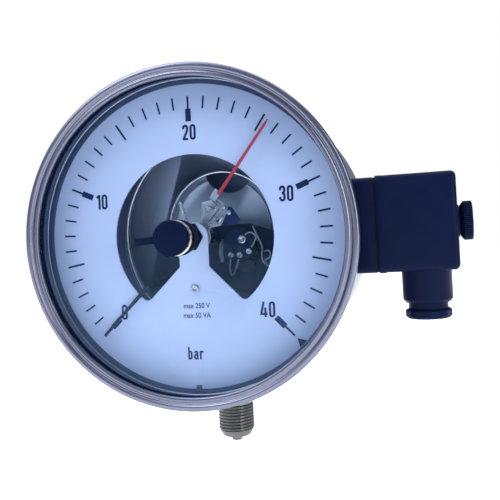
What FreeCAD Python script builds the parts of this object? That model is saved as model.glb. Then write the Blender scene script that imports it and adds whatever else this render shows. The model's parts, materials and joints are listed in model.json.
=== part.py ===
"""Bourdon-tube pressure gauge with a built-in electrical limit switch, nominal size 160.

Units are millimetres. Every shape is drawn in dial coordinates: X to the right seen from the
front, Y into the case, Z up, with the origin where the dial axis meets the stem axis. export()
then lifts the shape by DIAL_HEIGHT, so the part's own origin is the centre of the stem's end face.
Angles are counter-clockwise from +X as the dial is read, so 0 bar stands at 225 degrees.
"""
import FreeCAD, Part
import math
import os

Vector = FreeCAD.Vector

# --- driving dimensions -------------------------------------------------------------------
DIAL_HEIGHT = 118.0         # stem end face to dial axis
BEZEL_R = 84.0              # outer radius of the bayonet bezel
BEZEL_FRONT = -84.0         # front face of the bezel
CASE_R = 80.0               # outer radius of the case tube
CASE_WALL = 1.4
CASE_FRONT = -75.8
CASE_BACK = 17.5
GLASS_R = 79.3
GLASS_FRONT = -80.9
GLASS_BACK = -76.9
DIAL_FRONT = -68.3
DIAL_BACK = -67.3
DIAL_R = 76.2
CUTOUT_R = 41.3             # dial cut-out through which the switch is seen
TONGUE_HALF = 7.6           # half width of the dial's middle tongue
BAFFLE_FRONT = -13.0
BAFFLE_BACK = -11.8
BAFFLE_HOLE_R = 31.0
BAFFLE_HOLE_Z = 4.5
BEAD_R = 58.95              # middle of the bead pressed into the baffle
BEAD_HALF = 1.65
BEAD_HEIGHT = 1.5
ZERO_ANGLE = 225.0          # pointer at 0 bar
SET_ANGLE = 53.3            # set pointer, near 25.4 bar

THREAD_R = 10.4775          # G 1/2 B major radius
THREAD_LENGTH = 20.0
FLATS = 22.0                # square spanner flats

TUBE_R = 52.0               # mean radius of the Bourdon tube
TUBE_START = 255.0
TUBE_END = -15.0
TUBE_HEIGHT = 12.0          # along Y
TUBE_THICK = 4.0            # radial

GEAR_MODULE = 0.4
PINION_TEETH = 12
SECTOR_TEETH = 72           # teeth of the full wheel that the sector is cut from
CENTRE_DISTANCE = GEAR_MODULE * (PINION_TEETH + SECTOR_TEETH) / 2.0
TAIL_PIN_DIRECTION = -60.0
TAIL_LENGTH = 8.0
TAIL_PIN_R = 0.8
LINK_CLEARANCE = 0.4        # radial play at the link's free eye
LINK_PIVOT = (26.0, -9.0)   # pin on the tube's end piece
LINK_EYE = (4.25, -23.91)   # centre of the link's eye at rest

RUNNING = 0.05              # radial clearance of a running fit

PLUG_TILT = 1.1             # the plug is drawn along X, then turned this far up round the dial axis
PLUG_Y = (-56.0, -24.0)     # plug connector, front and back faces
PLUG_Z = (-23.1, 24.6)
PLUG_X = (90.0, 128.2)
PLUG_CENTRE = (-40.0, 0.2)  # Y and Z of the plug's screw
SADDLE_END = 88.6
GLAND_X = 112.15
GLAND_R = 12.25


# --- helpers ------------------------------------------------------------------------------
def export(name, shape):
    """Write one node, moved from dial coordinates to the part's own frame."""
    placed = shape.copy()
    placed.translate(Vector(0, 0, DIAL_HEIGHT))
    placed.exportStep(os.path.join("parts", name + ".step"))


def polar(radius, angle, centre=(0.0, 0.0)):
    """Point (x, z) at a radius and a dial angle."""
    a = math.radians(angle)
    return centre[0] + radius * math.cos(a), centre[1] + radius * math.sin(a)


def along_y(radius, y0, y1, x=0.0, z=0.0):
    """Round bar along Y."""
    return Part.makeCylinder(radius, y1 - y0, Vector(x, y0, z), Vector(0, 1, 0))


def along_x(radius, x0, x1, y, z):
    """Round bar along X."""
    return Part.makeCylinder(radius, x1 - x0, Vector(x0, y, z), Vector(1, 0, 0))


def along_z(radius, z0, z1, x=0.0, y=0.0):
    """Round bar along Z."""
    return Part.makeCylinder(radius, z1 - z0, Vector(x, y, z0), Vector(0, 0, 1))


def ring_y(outer, inner, y0, y1, x=0.0, z=0.0):
    """Tube along Y."""
    return along_y(outer, y0, y1, x, z).cut(along_y(inner, y0 - 1, y1 + 1, x, z))


def block(x0, x1, y0, y1, z0, z1):
    """Box between two corners."""
    return Part.makeBox(x1 - x0, y1 - y0, z1 - z0, Vector(x0, y0, z0))


def fused(shapes):
    """Join shapes that overlap or touch into one clean solid."""
    whole = shapes[0].multiFuse(shapes[1:])
    return whole.removeSplitter()


def group(solids):
    """Keep separate solids together in one node."""
    return Part.makeCompound(solids)


def turned_y(profile):
    """Body of revolution about the dial axis from (radius, y) corners."""
    points = [Vector(r, y, 0) for r, y in profile]
    face = Part.Face(Part.makePolygon(points + points[:1]))
    return face.revolve(Vector(0, 0, 0), Vector(0, 1, 0), 360)


def turned_z(profile, x=0.0, y=0.0):
    """Body of revolution about a vertical axis from (radius, z) corners."""
    points = [Vector(x + r, y, z) for r, z in profile]
    face = Part.Face(Part.makePolygon(points + points[:1]))
    return face.revolve(Vector(x, y, 0), Vector(0, 0, 1), 360)


def plate(outline, y0, y1):
    """Flat plate from (x, z) corners, between two Y planes."""
    points = [Vector(x, y0, z) for x, z in outline]
    face = Part.Face(Part.makePolygon(points + points[:1]))
    return face.extrude(Vector(0, y1 - y0, 0))


def dial_turn(shape, angle, centre=(0.0, 0.0)):
    """Turn a shape drawn along +X to a dial angle."""
    turned = shape.copy()
    turned.rotate(Vector(centre[0], 0, centre[1]), Vector(0, -1, 0), angle)
    return turned


def on_plug_line(shape):
    """Turn a shape drawn along X to the line that the plug sits on."""
    return dial_turn(shape, PLUG_TILT)


def tapered_arm(r0, w0, r1, w1, y0, y1):
    """Flat arm along +X whose width changes from w0 to w1."""
    return plate([(r0, -w0 / 2), (r1, -w1 / 2), (r1, w1 / 2), (r0, w0 / 2)], y0, y1)


def bent_strip(path, thickness, width):
    """Strip bent in the X-Y plane along (x, y) corners, as wide as width in Z."""
    pieces = []
    for (x0, y0), (x1, y1) in zip(path, path[1:]):
        run = math.hypot(x1 - x0, y1 - y0)
        dx, dy = (x1 - x0) / run, (y1 - y0) / run
        nx, ny = -dy * thickness / 2, dx * thickness / 2
        corners = [(x0 + nx, y0 + ny), (x1 + nx, y1 + ny), (x1 - nx, y1 - ny), (x0 - nx, y0 - ny)]
        points = [Vector(x, y, -width / 2) for x, y in corners]
        face = Part.Face(Part.makePolygon(points + points[:1]))
        pieces.append(face.extrude(Vector(0, 0, width)))
    for x, y in path[1:-1]:
        pieces.append(Part.makeCylinder(thickness / 2, width, Vector(x, y, -width / 2)))
    return fused(pieces)


def rounded_box(x0, x1, y0, y1, z0, z1, radius, axis):
    """Box whose four edges along one axis are rounded."""
    box = block(x0, x1, y0, y1, z0, z1)
    edges = [e for e in box.Edges if abs(e.tangentAt(e.FirstParameter).dot(axis)) > 0.99]
    return box.makeFillet(radius, edges)


def pan_head_screw(x, z, y_face, head_r, head_h, shank_r, shank_end):
    """Cross-head screw along Y; the head stands in front of y_face, the shank ends at shank_end."""
    head = along_y(head_r, y_face - head_h, y_face, x, z)
    shank = along_y(shank_r, y_face, shank_end, x, z)
    screw = fused([head, shank])
    slot = 0.16 * head_r
    depth = 0.55 * head_h
    for half_x, half_z in ((0.6 * head_r, slot), (slot, 0.6 * head_r)):
        front = y_face - head_h
        screw = screw.cut(block(x - half_x, x + half_x, front - 1, front + depth, z - half_z, z + half_z))
    return screw


# --- case ---------------------------------------------------------------------------------
STEM_SCREWS = ((-9.0, -68.0), (9.0, -68.0))
STEM_NECK_R = 11.0
GROMMET_R = 6.0
BASE_SCREW_YZ = [(y, z) for y in (-52.0, -28.0) for z in (PLUG_Z[0] + 4.5, PLUG_Z[1] - 4.5)]
BACK_PLUG_R = 22.0
FLANGE_R = 81.2
LUG_HALF_ANGLE = 9.0
LUG_ANGLES = (90.0, 210.0, 330.0)
BAYONET_TURN = 25.0


def sector_block(inner, outer, y0, y1, angle, half_angle):
    """Piece of a ring along Y, centred on a dial angle."""
    a0, a1 = math.radians(angle - half_angle), math.radians(angle + half_angle)
    points = [Vector(0, y0, 0)]
    reach = outer * 1.2
    for a in (a0, (a0 + a1) / 2, a1):
        points.append(Vector(reach * math.cos(a), y0, reach * math.sin(a)))
    wedge = Part.Face(Part.makePolygon(points + points[:1])).extrude(Vector(0, y1 - y0, 0))
    return ring_y(outer, inner, y0, y1).common(wedge)


def case_shell():
    """Deep round case, its back wall in one piece, with the bayonet flange at the front."""
    tube = turned_y([
        (CASE_R - CASE_WALL, CASE_FRONT),
        (FLANGE_R, CASE_FRONT),
        (FLANGE_R, CASE_FRONT + 3.6),
        (CASE_R, CASE_FRONT + 3.6),
        (CASE_R, CASE_BACK - 3.0),
        (CASE_R - 3.0, CASE_BACK),
        (0.0, CASE_BACK),
        (0.0, CASE_BACK - CASE_WALL),
        (CASE_R - 3.6, CASE_BACK - CASE_WALL),
        (CASE_R - CASE_WALL, CASE_BACK - 3.6),
    ])
    for angle in LUG_ANGLES:
        gap = sector_block(CASE_R, 90.0, CASE_FRONT - 1, CASE_FRONT + 4, angle + BAYONET_TURN,
                           LUG_HALF_ANGLE + 1)
        tube = tube.cut(gap)
    tube = tube.cut(along_z(STEM_NECK_R + 0.2, -CASE_R - 5, -70.0))
    tube = tube.cut(along_y(BACK_PLUG_R, CASE_BACK - 5, CASE_BACK + 5))
    for x, z in STEM_SCREWS:
        tube = tube.cut(along_y(2.6, CASE_BACK - 5, CASE_BACK + 5, x, z))
    for y, z in BASE_SCREW_YZ:
        tube = tube.cut(on_plug_line(along_x(1.6, 60, 90, y, z)))
    return tube.cut(on_plug_line(along_x(GROMMET_R, 60, 90, *PLUG_CENTRE)))


def bezel_ring():
    """Bayonet ring: beaded front lip, rolled edge, skirt and three lugs behind the case flange."""
    ring = turned_y([
        (77.2, -82.6), (77.6, -83.2), (79.0, -83.4), (79.8, -82.9), (80.6, -82.9), (81.2, -83.8),
        (82.0, BEZEL_FRONT), (83.3, -83.8), (BEZEL_R, -83.0), (BEZEL_R, -80.6), (83.2, -79.4),
        (83.2, -68.0), (81.3, -68.0), (81.3, -81.9), (77.2, -81.9),
    ])
    lugs = [
        sector_block(CASE_R + 0.15, 82.0, CASE_FRONT + 3.7, CASE_FRONT + 5.6, angle, LUG_HALF_ANGLE)
        for angle in LUG_ANGLES
    ]
    return fused([ring] + lugs)


def window_glass():
    """Flat safety glass with the centre hole for the adjusting lock."""
    return ring_y(GLASS_R, LOCK_SHANK_R + 0.1, GLASS_FRONT, GLASS_BACK)


def window_gasket():
    """Rubber channel round the rim of the glass, clamped between bezel and case."""
    return ring_y(80.1, 78.0, -81.9, CASE_FRONT).cut(along_y(GLASS_R, GLASS_FRONT, GLASS_BACK))


def rear_blowout_plug():
    """Rubber pressure-relief plug snapped into the case back."""
    return turned_y([
        (0.0, CASE_BACK - 3.4), (BACK_PLUG_R - 3, CASE_BACK - 3.4), (BACK_PLUG_R - 3, CASE_BACK - 2.6),
        (BACK_PLUG_R + 1.0, CASE_BACK - 2.6), (BACK_PLUG_R + 1.0, CASE_BACK - CASE_WALL),
        (BACK_PLUG_R, CASE_BACK - CASE_WALL), (BACK_PLUG_R, CASE_BACK),
        (BACK_PLUG_R + 2.5, CASE_BACK), (BACK_PLUG_R + 2.0, CASE_BACK + 1.8), (0.0, CASE_BACK + 1.8),
    ])


def baffle_wall():
    """Partition behind the switch, with a pressed bead and a round opening."""
    disc = along_y(CASE_R - CASE_WALL, BAFFLE_FRONT, BAFFLE_BACK)
    arch = [polar(1.0, 18.0 * i) for i in range(11)]
    root = [(BEAD_R - BEAD_HALF, BAFFLE_FRONT + 0.5), (BEAD_R + BEAD_HALF, BAFFLE_FRONT + 0.5)]
    bead = turned_y(root + [(BEAD_R + BEAD_HALF * u, BAFFLE_FRONT - BEAD_HEIGHT * v) for u, v in arch])
    rim = ring_y(BAFFLE_HOLE_R + 1.3, BAFFLE_HOLE_R, BAFFLE_FRONT - 1.6, BAFFLE_FRONT, z=BAFFLE_HOLE_Z)
    wall = fused([disc, bead, rim])
    return wall.cut(along_y(BAFFLE_HOLE_R, -20, 0, z=BAFFLE_HOLE_Z))


def dial_carrier():
    """Ring inside the case that the dial lies on, with a tab through the dial's lower notch."""
    ring = ring_y(CASE_R - CASE_WALL, 73.5, DIAL_BACK, DIAL_BACK + 1.2)
    skirt = ring_y(CASE_R - CASE_WALL, 77.4, DIAL_BACK + 1.2, DIAL_BACK + 5.0)
    tab = block(-1.2, 1.2, DIAL_FRONT - 0.6, DIAL_BACK, -75.6, -74.6)
    return fused([ring, skirt, tab])


def cutout_outline():
    """C-shaped opening left of, over and right of the middle tongue."""
    disc = along_y(CUTOUT_R, DIAL_FRONT - 1, DIAL_BACK + 1)
    shoulder_z = -15.0
    lobe_x, lobe_z = 24.4, -31.4
    tongue = plate([
        (-TONGUE_HALF, -0.4), (TONGUE_HALF, -0.4), (TONGUE_HALF, shoulder_z), (lobe_x, lobe_z - 0.4),
        (44.0, -50.0), (-44.0, -50.0), (-lobe_x, lobe_z - 0.4), (-TONGUE_HALF, shoulder_z),
    ], DIAL_FRONT - 1, DIAL_BACK + 1)
    tip = along_y(TONGUE_HALF, DIAL_FRONT - 1, DIAL_BACK + 1, z=-0.4)
    opening = disc.cut(tongue).cut(tip)
    corners = []
    for edge in opening.Edges:
        if len(edge.Vertexes) == 2 and abs(edge.tangentAt(edge.FirstParameter).y) > 0.99:
            p = edge.Vertexes[0].Point
            if p.z < -25:
                corners.append(edge)
    return opening.makeFillet(3.2, corners)


def dial():
    """Round dial plate with the C-shaped cut-out, a screw hole and the locating notch."""
    disc = along_y(DIAL_R, DIAL_FRONT, DIAL_BACK)
    disc = disc.cut(cutout_outline())
    disc = disc.cut(along_y(DIAL_SCREW_R, DIAL_FRONT - 1, DIAL_BACK + 1, z=DIAL_SCREW_Z))
    return disc.cut(block(-1.5, 1.5, DIAL_FRONT - 1, DIAL_BACK + 1, -78.0, -74.3))


# --- stem and measuring element -----------------------------------------------------------
def process_stem():
    """Threaded stem with centring pin, spanner flats, neck and the socket block for the tube."""
    end = -DIAL_HEIGHT
    thread_top = end + THREAD_LENGTH
    half = FLATS / 2
    pieces = [
        along_z(3.0, end - 3.0, end + 1),
        along_z(THREAD_R, end, thread_top),
        along_z(8.9, thread_top, thread_top + 2),
        rounded_box(-half, half, -half, half, thread_top + 2, -82.6, 1.5, Vector(0, 0, 1)),
        along_z(STEM_NECK_R, -82.6, -76.5),
        block(-13, 13, -9, 9, -76.5, -46.5),
        block(-13, 13, 9, CASE_BACK - CASE_WALL, -74.0, -60.0),
        block(-9, 9, 0, 9, -46.5, -24.0),
    ]
    stem = fused(pieces)
    stem = stem.cut(along_z(1.5, end - 4, -62.0))
    for x, z in STEM_SCREWS:
        stem = stem.cut(along_y(2.1, 2.0, CASE_BACK + 1, x, z))
    for x in (-5.0, 5.0):
        stem = stem.cut(along_y(1.05, -1, 6, x, -28.0))
    return stem


def stem_seal():
    """Flat ring that closes the gap between the stem's neck and the case."""
    ring = turned_z([(STEM_NECK_R, -82.6), (14.0, -82.6), (14.0, -79.0), (STEM_NECK_R, -79.0)])
    return ring.cut(along_y(CASE_R, -30, 30))


def stem_screws():
    """Two socket-head screws from the case back into the stem block."""
    screws = []
    for x, z in STEM_SCREWS:
        head = along_y(4.2, CASE_BACK, CASE_BACK + 3.0, x, z)
        head = head.cut(along_y(2.2, CASE_BACK + 1.2, CASE_BACK + 4, x, z))
        screws.append(fused([head, along_y(2.1, 4.0, CASE_BACK, x, z)]))
    return group(screws)


def bourdon_tube():
    """Flattened C-shaped tube from the stem block round to the end piece."""
    outer = ring_y(TUBE_R + TUBE_THICK / 2, TUBE_R - TUBE_THICK / 2, -TUBE_HEIGHT / 2, TUBE_HEIGHT / 2)
    wall = 0.6
    bore = ring_y(TUBE_R + TUBE_THICK / 2 - wall, TUBE_R - TUBE_THICK / 2 + wall,
                  -TUBE_HEIGHT / 2 + wall, TUBE_HEIGHT / 2 - wall)
    gap_middle = (TUBE_START + TUBE_END + 360) / 2
    gap_half = (TUBE_END + 360 - TUBE_START) / 2
    reach = 90.0
    corners = [(0.0, 0.0)]
    for step in (-1.0, 0.0, 1.0):
        corners.append(polar(reach, gap_middle + step * gap_half))
    tube = outer.cut(bore).cut(plate(corners, -20, 20))
    return tube.cut(block(-13, 13, -9, 9, -76.5, -46.5))


def tube_end_piece():
    """Closed end of the tube with the arm that carries the link's pin."""
    body = block(TUBE_R - 4.2, TUBE_R + 3.2, -7.2, 7.2, -7.0, 0.0)
    body = dial_turn(body, TUBE_END)
    px, pz = LINK_PIVOT
    arm_end = polar(TUBE_R - 3.0, TUBE_END - 4.0)
    length = math.hypot(arm_end[0] - px, arm_end[1] - pz)
    direction = math.degrees(math.atan2(arm_end[1] - pz, arm_end[0] - px))
    arm = tapered_arm(0.0, 3.0, length, 4.6, -7.2, -5.8)
    arm = dial_turn(arm, direction)
    arm.translate(Vector(px, 0, pz))
    eye = along_y(2.0, -7.2, -5.8, px, pz)
    pin = along_y(0.8, -9.4, -5.8, px, pz)
    head = along_y(1.3, -9.6, -9.0, px, pz)
    return fused([body, arm, eye, pin, head])


def drive_link():
    """Link between the tube's end piece and the sector's tail; its far eye has play."""
    px, pz = LINK_PIVOT
    ex, ez = LINK_EYE
    length = math.hypot(ex - px, ez - pz)
    direction = math.degrees(math.atan2(ez - pz, ex - px))
    y0, y1 = -8.7, -7.9
    bar = tapered_arm(0.0, 1.8, length, 1.8, y0, y1)
    bar = dial_turn(bar, direction)
    bar.translate(Vector(px, 0, pz))
    link = fused([bar, along_y(2.0, y0, y1, px, pz), along_y(2.3, y0, y1, ex, ez)])
    link = link.cut(along_y(0.8 + RUNNING, y0 - 1, y1 + 1, px, pz))
    return link.cut(along_y(TAIL_PIN_R + LINK_CLEARANCE, y0 - 1, y1 + 1, ex, ez))


# --- movement -----------------------------------------------------------------------------
MOVEMENT_REAR = (-1.4, 0.0)
MOVEMENT_FRONT = (-11.8, -10.4)
MOVEMENT_PILLARS = ((-12.0, 8.0), (12.0, 8.0), (-12.0, -22.0))
SHAFT_R = 1.2
ARBOR_R = 1.0


def involute(angle):
    return math.tan(angle) - angle


def gear_wheel(teeth, kept, y0, y1, centre, tooth_phase):
    """Spur wheel with involute flanks; kept lists the tooth numbers that are really cut."""
    pitch_r = GEAR_MODULE * teeth / 2.0
    pressure = math.radians(20.0)
    base_r = pitch_r * math.cos(pressure)
    tip_r = pitch_r + 0.7 * GEAR_MODULE
    root_r = pitch_r - 1.15 * GEAR_MODULE
    backlash = 0.06
    half_at_pitch = math.pi / (2 * teeth) - backlash / (2 * pitch_r)
    radii = [root_r] + [base_r + (tip_r - base_r) * i / 4.0 for i in range(5) if base_r > root_r or i]
    flank = []
    for r in sorted(set(radii)):
        lean = involute(math.acos(base_r / r)) if r > base_r else 0.0
        flank.append((r, half_at_pitch + involute(pressure) - lean))
    step = 360.0 / teeth
    outline = []
    for number in kept:
        middle = tooth_phase + number * step
        for r, half in flank:
            outline.append(polar(r, middle - math.degrees(half), centre))
        for r, half in reversed(flank):
            outline.append(polar(r, middle + math.degrees(half), centre))
    if len(kept) < teeth:
        outline.append(centre)
    return plate(outline, y0, y1)


def pointer_shaft():
    """Pinion and pointer arbor in one piece, from the rear plate to the pointer hub."""
    pinion = gear_wheel(PINION_TEETH, range(PINION_TEETH), -8.2, -4.8, (0.0, 0.0), -90.0)
    arbor = along_y(SHAFT_R, -46.6, -0.2)
    collar = along_y(1.9, -9.8, -8.2)
    return fused([pinion, arbor, collar])


def sector_gear():
    """Toothed sector on its arbor, with the tail that the link pulls."""
    centre = (0.0, -CENTRE_DISTANCE)
    step = 360.0 / SECTOR_TEETH
    kept = range(-11, 3)
    teeth = gear_wheel(SECTOR_TEETH, kept, -7.4, -5.8, centre, 90.0 - step / 2)
    hub = along_y(3.2, -7.4, -4.4, *centre)
    arbor = along_y(ARBOR_R, -11.6, -0.2, *centre)
    tail = tapered_arm(0.0, 4.0, TAIL_LENGTH, 3.0, -7.4, -5.8)
    tail = dial_turn(tail, TAIL_PIN_DIRECTION)
    tail.translate(Vector(centre[0], 0, centre[1]))
    px, pz = polar(TAIL_LENGTH, TAIL_PIN_DIRECTION, centre)
    tail_end = along_y(1.9, -7.4, -5.8, px, pz)
    pin = along_y(TAIL_PIN_R, -9.2, -5.8, px, pz)
    return fused([teeth, hub, arbor, tail, tail_end, pin])


def movement_rear_plate():
    """Rear plate of the movement, screwed to the stem's post."""
    y0, y1 = MOVEMENT_REAR
    body = plate([(-15, -31), (15, -31), (15, 12), (-15, 12)], y0, y1)
    body = body.cut(along_y(SHAFT_R + RUNNING, y0 - 1, y1 + 1))
    body = body.cut(along_y(ARBOR_R + RUNNING, y0 - 1, y1 + 1, 0, -CENTRE_DISTANCE))
    for x in (-5.0, 5.0):
        body = body.cut(along_y(1.3, y0 - 1, y1 + 1, x, -28.0))
    return body


def movement_front_plate():
    """Round front plate that closes the baffle's opening, ribbed and notched at the top."""
    y0, y1 = MOVEMENT_FRONT
    rib = ring_y(28.3, 27.5, y0 - 1.0, y0, z=BAFFLE_HOLE_Z)
    disc = fused([along_y(33.5, y0, y1, z=BAFFLE_HOLE_Z), rib])
    disc = disc.cut(along_y(14.5, y0 - 2, y1 + 1, 4.5, 38.4))
    disc = disc.cut(along_y(SHAFT_R + RUNNING, y0 - 1, y1 + 1))
    return disc.cut(along_y(ARBOR_R + RUNNING, y0 - 1, y1 + 1, 0, -CENTRE_DISTANCE))


def movement_pillars():
    """Spacers between the movement plates."""
    return group([along_y(2.0, MOVEMENT_FRONT[1], MOVEMENT_REAR[0], x, z) for x, z in MOVEMENT_PILLARS])


def movement_screws():
    """Two screws that hold the rear plate to the stem's post."""
    return group([pan_head_screw(x, -28.0, MOVEMENT_REAR[0], 2.0, 1.2, 1.05, 5.0) for x in (-5.0, 5.0)])


def hairspring():
    """Spiral strip that takes up the play between pinion and sector, drawn as growing half rings."""
    strip_w, strip_t = 0.8, 0.3
    y0 = -16.4
    halves = 8
    radius, outer = 2.6, 7.4
    pitch = (outer - radius) / halves
    centre, side = 0.0, 1
    arcs = []
    for _ in range(halves):
        ring = ring_y(radius + strip_t / 2, radius - strip_t / 2, y0, y0 + strip_w, x=centre)
        z0, z1 = sorted((0.0, 50.0 * side))
        arcs.append(ring.common(block(-50, 50, y0 - 1, y0 + 2, z0, z1)))
        centre += side * pitch
        radius += pitch
        side = -side
    return fused(arcs)


def hairspring_collet():
    """Brass collet on the pointer arbor that holds the spring's inner end."""
    return ring_y(2.4, SHAFT_R, -17.0, -15.0)


# --- contact device -----------------------------------------------------------------------
DIAL_SCREW_Z = -26.0
DIAL_SCREW_R = 1.0
BRIDGE_Y = (DIAL_BACK, DIAL_BACK + 1.2)
STUD_R = 3.0
SET_PLATE_Y = (-62.2, -61.0)
COVER_OUTLINE = ((3.0, 9.0), (3.9, 17.1), (9.4, 17.8), (12.8, 13.9), (5.2, 5.6))
COVER_THICK = 1.6
COVER_SCREW = (6.3, 13.8)
ARM_PIVOT = (7.5, 5.7)
ARM_TIP = (15.34, 14.25)
ARM_PIN_R = 0.55
BLOCK_CENTRE = (16.3, -5.8)
BLOCK_R = 8.9
BLOCK_Y = (-41.0, -30.0)
INSULATOR_Y = (-30.0, -28.5)
INSULATOR_FEET = ((29.0, -23.0), (37.0, -6.0))
INSULATOR_SLOTS = (
    ((4.2, -1.1), (2.0, -5.6), (1.5, -10.1), (2.6, -15.4), (4.7, -14.8), (4.2, -8.9), (4.8, -4.4)),
    ((11.0, -16.9), (13.7, -14.7), (19.1, -14.2), (21.7, -15.3), (21.2, -19.1), (16.8, -20.3),
     (12.2, -19.5)),
)
TERMINALS = ((18.2, -2.5), (21.7, -8.9), (16.6, -10.8), (11.8, -10.6))
STOP_ANGLE = 230.0          # zero stop, just below the pointer's arm
WIRE_R = 0.45


def contact_bridge():
    """Bent bracket from the baffle, behind the dial's tongue, that carries the set pointer's stud."""
    foot = block(-7, 7, BAFFLE_FRONT - 1.5, BAFFLE_FRONT, -42, -32)
    leg = block(-6, 6, BRIDGE_Y[0], BAFFLE_FRONT, -34, -32.4)
    top = block(-6, 6, BRIDGE_Y[0], BRIDGE_Y[1], -34, 0)
    nose = along_y(6, *BRIDGE_Y)
    stud = along_y(STUD_R, BRIDGE_Y[1] - 0.5, -49.2)
    bracket = fused([foot, leg, top, nose, stud])
    bracket = bracket.cut(along_y(DIAL_SCREW_R, -70, -60, z=DIAL_SCREW_Z))
    for x in (-3.8, 3.8):
        bracket = bracket.cut(along_y(1.3, -20, 0, x, -38.4))
    return bracket


def bridge_screws():
    """Screws through the bracket's foot into the baffle."""
    foot_front = BAFFLE_FRONT - 1.5
    return group([pan_head_screw(x, -38.4, foot_front, 2.2, 1.4, 1.25, -13.1) for x in (-3.8, 3.8)])


def zero_stop():
    """Bent tab on the movement's front plate that the pointer's arm comes to rest beside."""
    base = MOVEMENT_FRONT[0]
    post = dial_turn(block(18.5, 21.5, -46.6, base, -0.4, 0.4), STOP_ANGLE)
    foot = dial_turn(block(17.5, 22.5, base - 1.0, base, -0.4, 4.5), STOP_ANGLE)
    return fused([post, foot])


def dial_screw():
    """Small cross-head screw in the dial's tongue."""
    return pan_head_screw(0, DIAL_SCREW_Z, DIAL_FRONT, 2.1, 0.9, DIAL_SCREW_R, BRIDGE_Y[1])


def set_hub():
    """Bearing sleeve of the set pointer on the bracket's stud."""
    return ring_y(6.0, STUD_R + RUNNING, BRIDGE_Y[1] + 0.2, -50.6)


def hub_clip():
    """Spring clip that keeps the hub on its stud."""
    return ring_y(4.6, STUD_R, -50.4, -49.7).cut(block(-6, 0, -52, -48, -1.5, 1.5))


def set_plate():
    """Carrier plate of the limit switch with its clamped cover, turning with the set pointer."""
    y0, y1 = SET_PLATE_Y
    base = plate([(-1.0, 5.0), (3.0, 9.0), (3.9, 17.1), (10.2, 18.8), (13.0, 18.0), (17.8, 14.0),
                  (18.7, 13.9), (22.6, 7.8), (20.4, 5.4), (13.6, 5.2), (7.6, 4.2), (4.0, 1.0)], y0, y1)
    cover = plate(COVER_OUTLINE, y0 - COVER_THICK, y0)
    body = fused([base, along_y(7.4, y0, y1), cover, along_y(ARM_PIN_R, y0 - 3.0, y0, *ARM_PIVOT)])
    body = body.cut(along_y(6.0, -70, -40))
    return body.cut(along_y(1.0, -70, -40, *COVER_SCREW))


def plate_screw():
    """Cross-head screw that clamps the contact cover."""
    return pan_head_screw(*COVER_SCREW, SET_PLATE_Y[0] - COVER_THICK, 1.7, 0.9, 1.0, SET_PLATE_Y[1])


def set_arm():
    """Grey metal tab standing on the carrier plate and bent outward beside the blade's line."""
    strip = bent_strip([(20.8, SET_PLATE_Y[0]), (21.6, -71.3), (26.8, -71.3)], 0.7, 3.5)
    strip.translate(Vector(0, 0, 1.3))
    arm = dial_turn(strip, SET_ANGLE)
    return arm.cut(block(-50, 50, SET_PLATE_Y[0], 0, -50, 50))


def set_blade():
    """Red set-pointer blade riveted on the arm."""
    blade = tapered_arm(25.2, 2.0, 66.0, 1.6, -72.4, -71.65)
    tip = plate([(66.0, -0.8), (69.2, -0.1), (69.2, 0.1), (66.0, 0.8)], -72.4, -71.65)
    return dial_turn(fused([blade, tip]), SET_ANGLE)


def drive_pin():
    """Pin that the lock's arm picks up to shift the set pointer."""
    x, z = polar(17.4, SET_ANGLE)
    foot = SET_PLATE_Y[0] - COVER_THICK
    return fused([along_y(0.8, -72.9, foot, x, z), along_y(1.3, foot - 1.0, foot, x, z)])


def magnet_block():
    """Moulded magnet holder of the snap-action contact."""
    outline = [(13.6, 5.0), (20.7, 5.0), (23.4, 7.6), (19.0, 14.4), (17.9, 14.5), (15.9, 9.1)]
    return plate(outline, -65.0, SET_PLATE_Y[0])


def fixed_contact():
    """Contact spring with its rivet, and the counter-contact on the magnet holder."""
    leaf = plate([(10.6, 7.5), (14.4, 10.8), (14.9, 9.1), (12.3, 6.0)], -63.6, SET_PLATE_Y[0])
    rivet = along_y(0.9, -64.2, SET_PLATE_Y[0], 12.7, 8.4)
    return group([fused([leaf, rivet]), along_y(1.2, -65.8, -65.0, 18.1, 11.4)])


def contact_arm():
    """Moving contact arm with its rivet, on a pin of the carrier plate."""
    px, pz = ARM_PIVOT
    tx, tz = ARM_TIP
    length = math.hypot(tx - px, tz - pz)
    direction = math.degrees(math.atan2(tz - pz, tx - px))
    y0, y1 = SET_PLATE_Y[0] - 2.6, SET_PLATE_Y[0] - 0.2
    strip = tapered_arm(0.0, 0.9, length, 0.9, y0, y1)
    strip = dial_turn(strip, direction)
    strip.translate(Vector(px, 0, pz))
    boss = along_y(1.2, y0, y1, px, pz)
    rivet = along_y(1.1, y0 - 0.4, y1 - 0.6, tx, tz)
    return fused([strip, boss, rivet]).cut(along_y(ARM_PIN_R + RUNNING, -70, -50, px, pz))


def insulating_plate():
    """Dark moulded plate behind the terminal block, slotted, on two feet from the baffle."""
    y0, y1 = INSULATOR_Y
    body = plate([(-5.0, 8.0), (9.6, 6.0), (20.9, 5.6), (32.5, 1.5), (42.0, -4.0), (38.0, -20.0),
                  (27.0, -35.0), (12.0, -31.0), (-5.0, -24.0)], y0, y1)
    body = body.cut(along_y(SHAFT_R + 0.4, y0 - 1, y1 + 1))
    for outline in INSULATOR_SLOTS:
        body = body.cut(plate(outline, y0 - 1, y1 + 1))
    feet = [along_y(3.0, y1 - 0.5, BAFFLE_FRONT, x, z) for x, z in INSULATOR_FEET]
    return fused([body] + feet)


def terminal_block():
    """Round moulded block with the screw terminals of the switch leads."""
    x, z = BLOCK_CENTRE
    body = along_y(BLOCK_R, BLOCK_Y[0] + 1.2, BLOCK_Y[1], x, z)
    crown = along_y(BLOCK_R - 0.6, BLOCK_Y[0], BLOCK_Y[0] + 1.2, x, z)
    block_body = fused([body, crown])
    for tx, tz in TERMINALS:
        block_body = block_body.cut(along_y(1.0, -45, -33, tx, tz))
    return block_body


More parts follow.
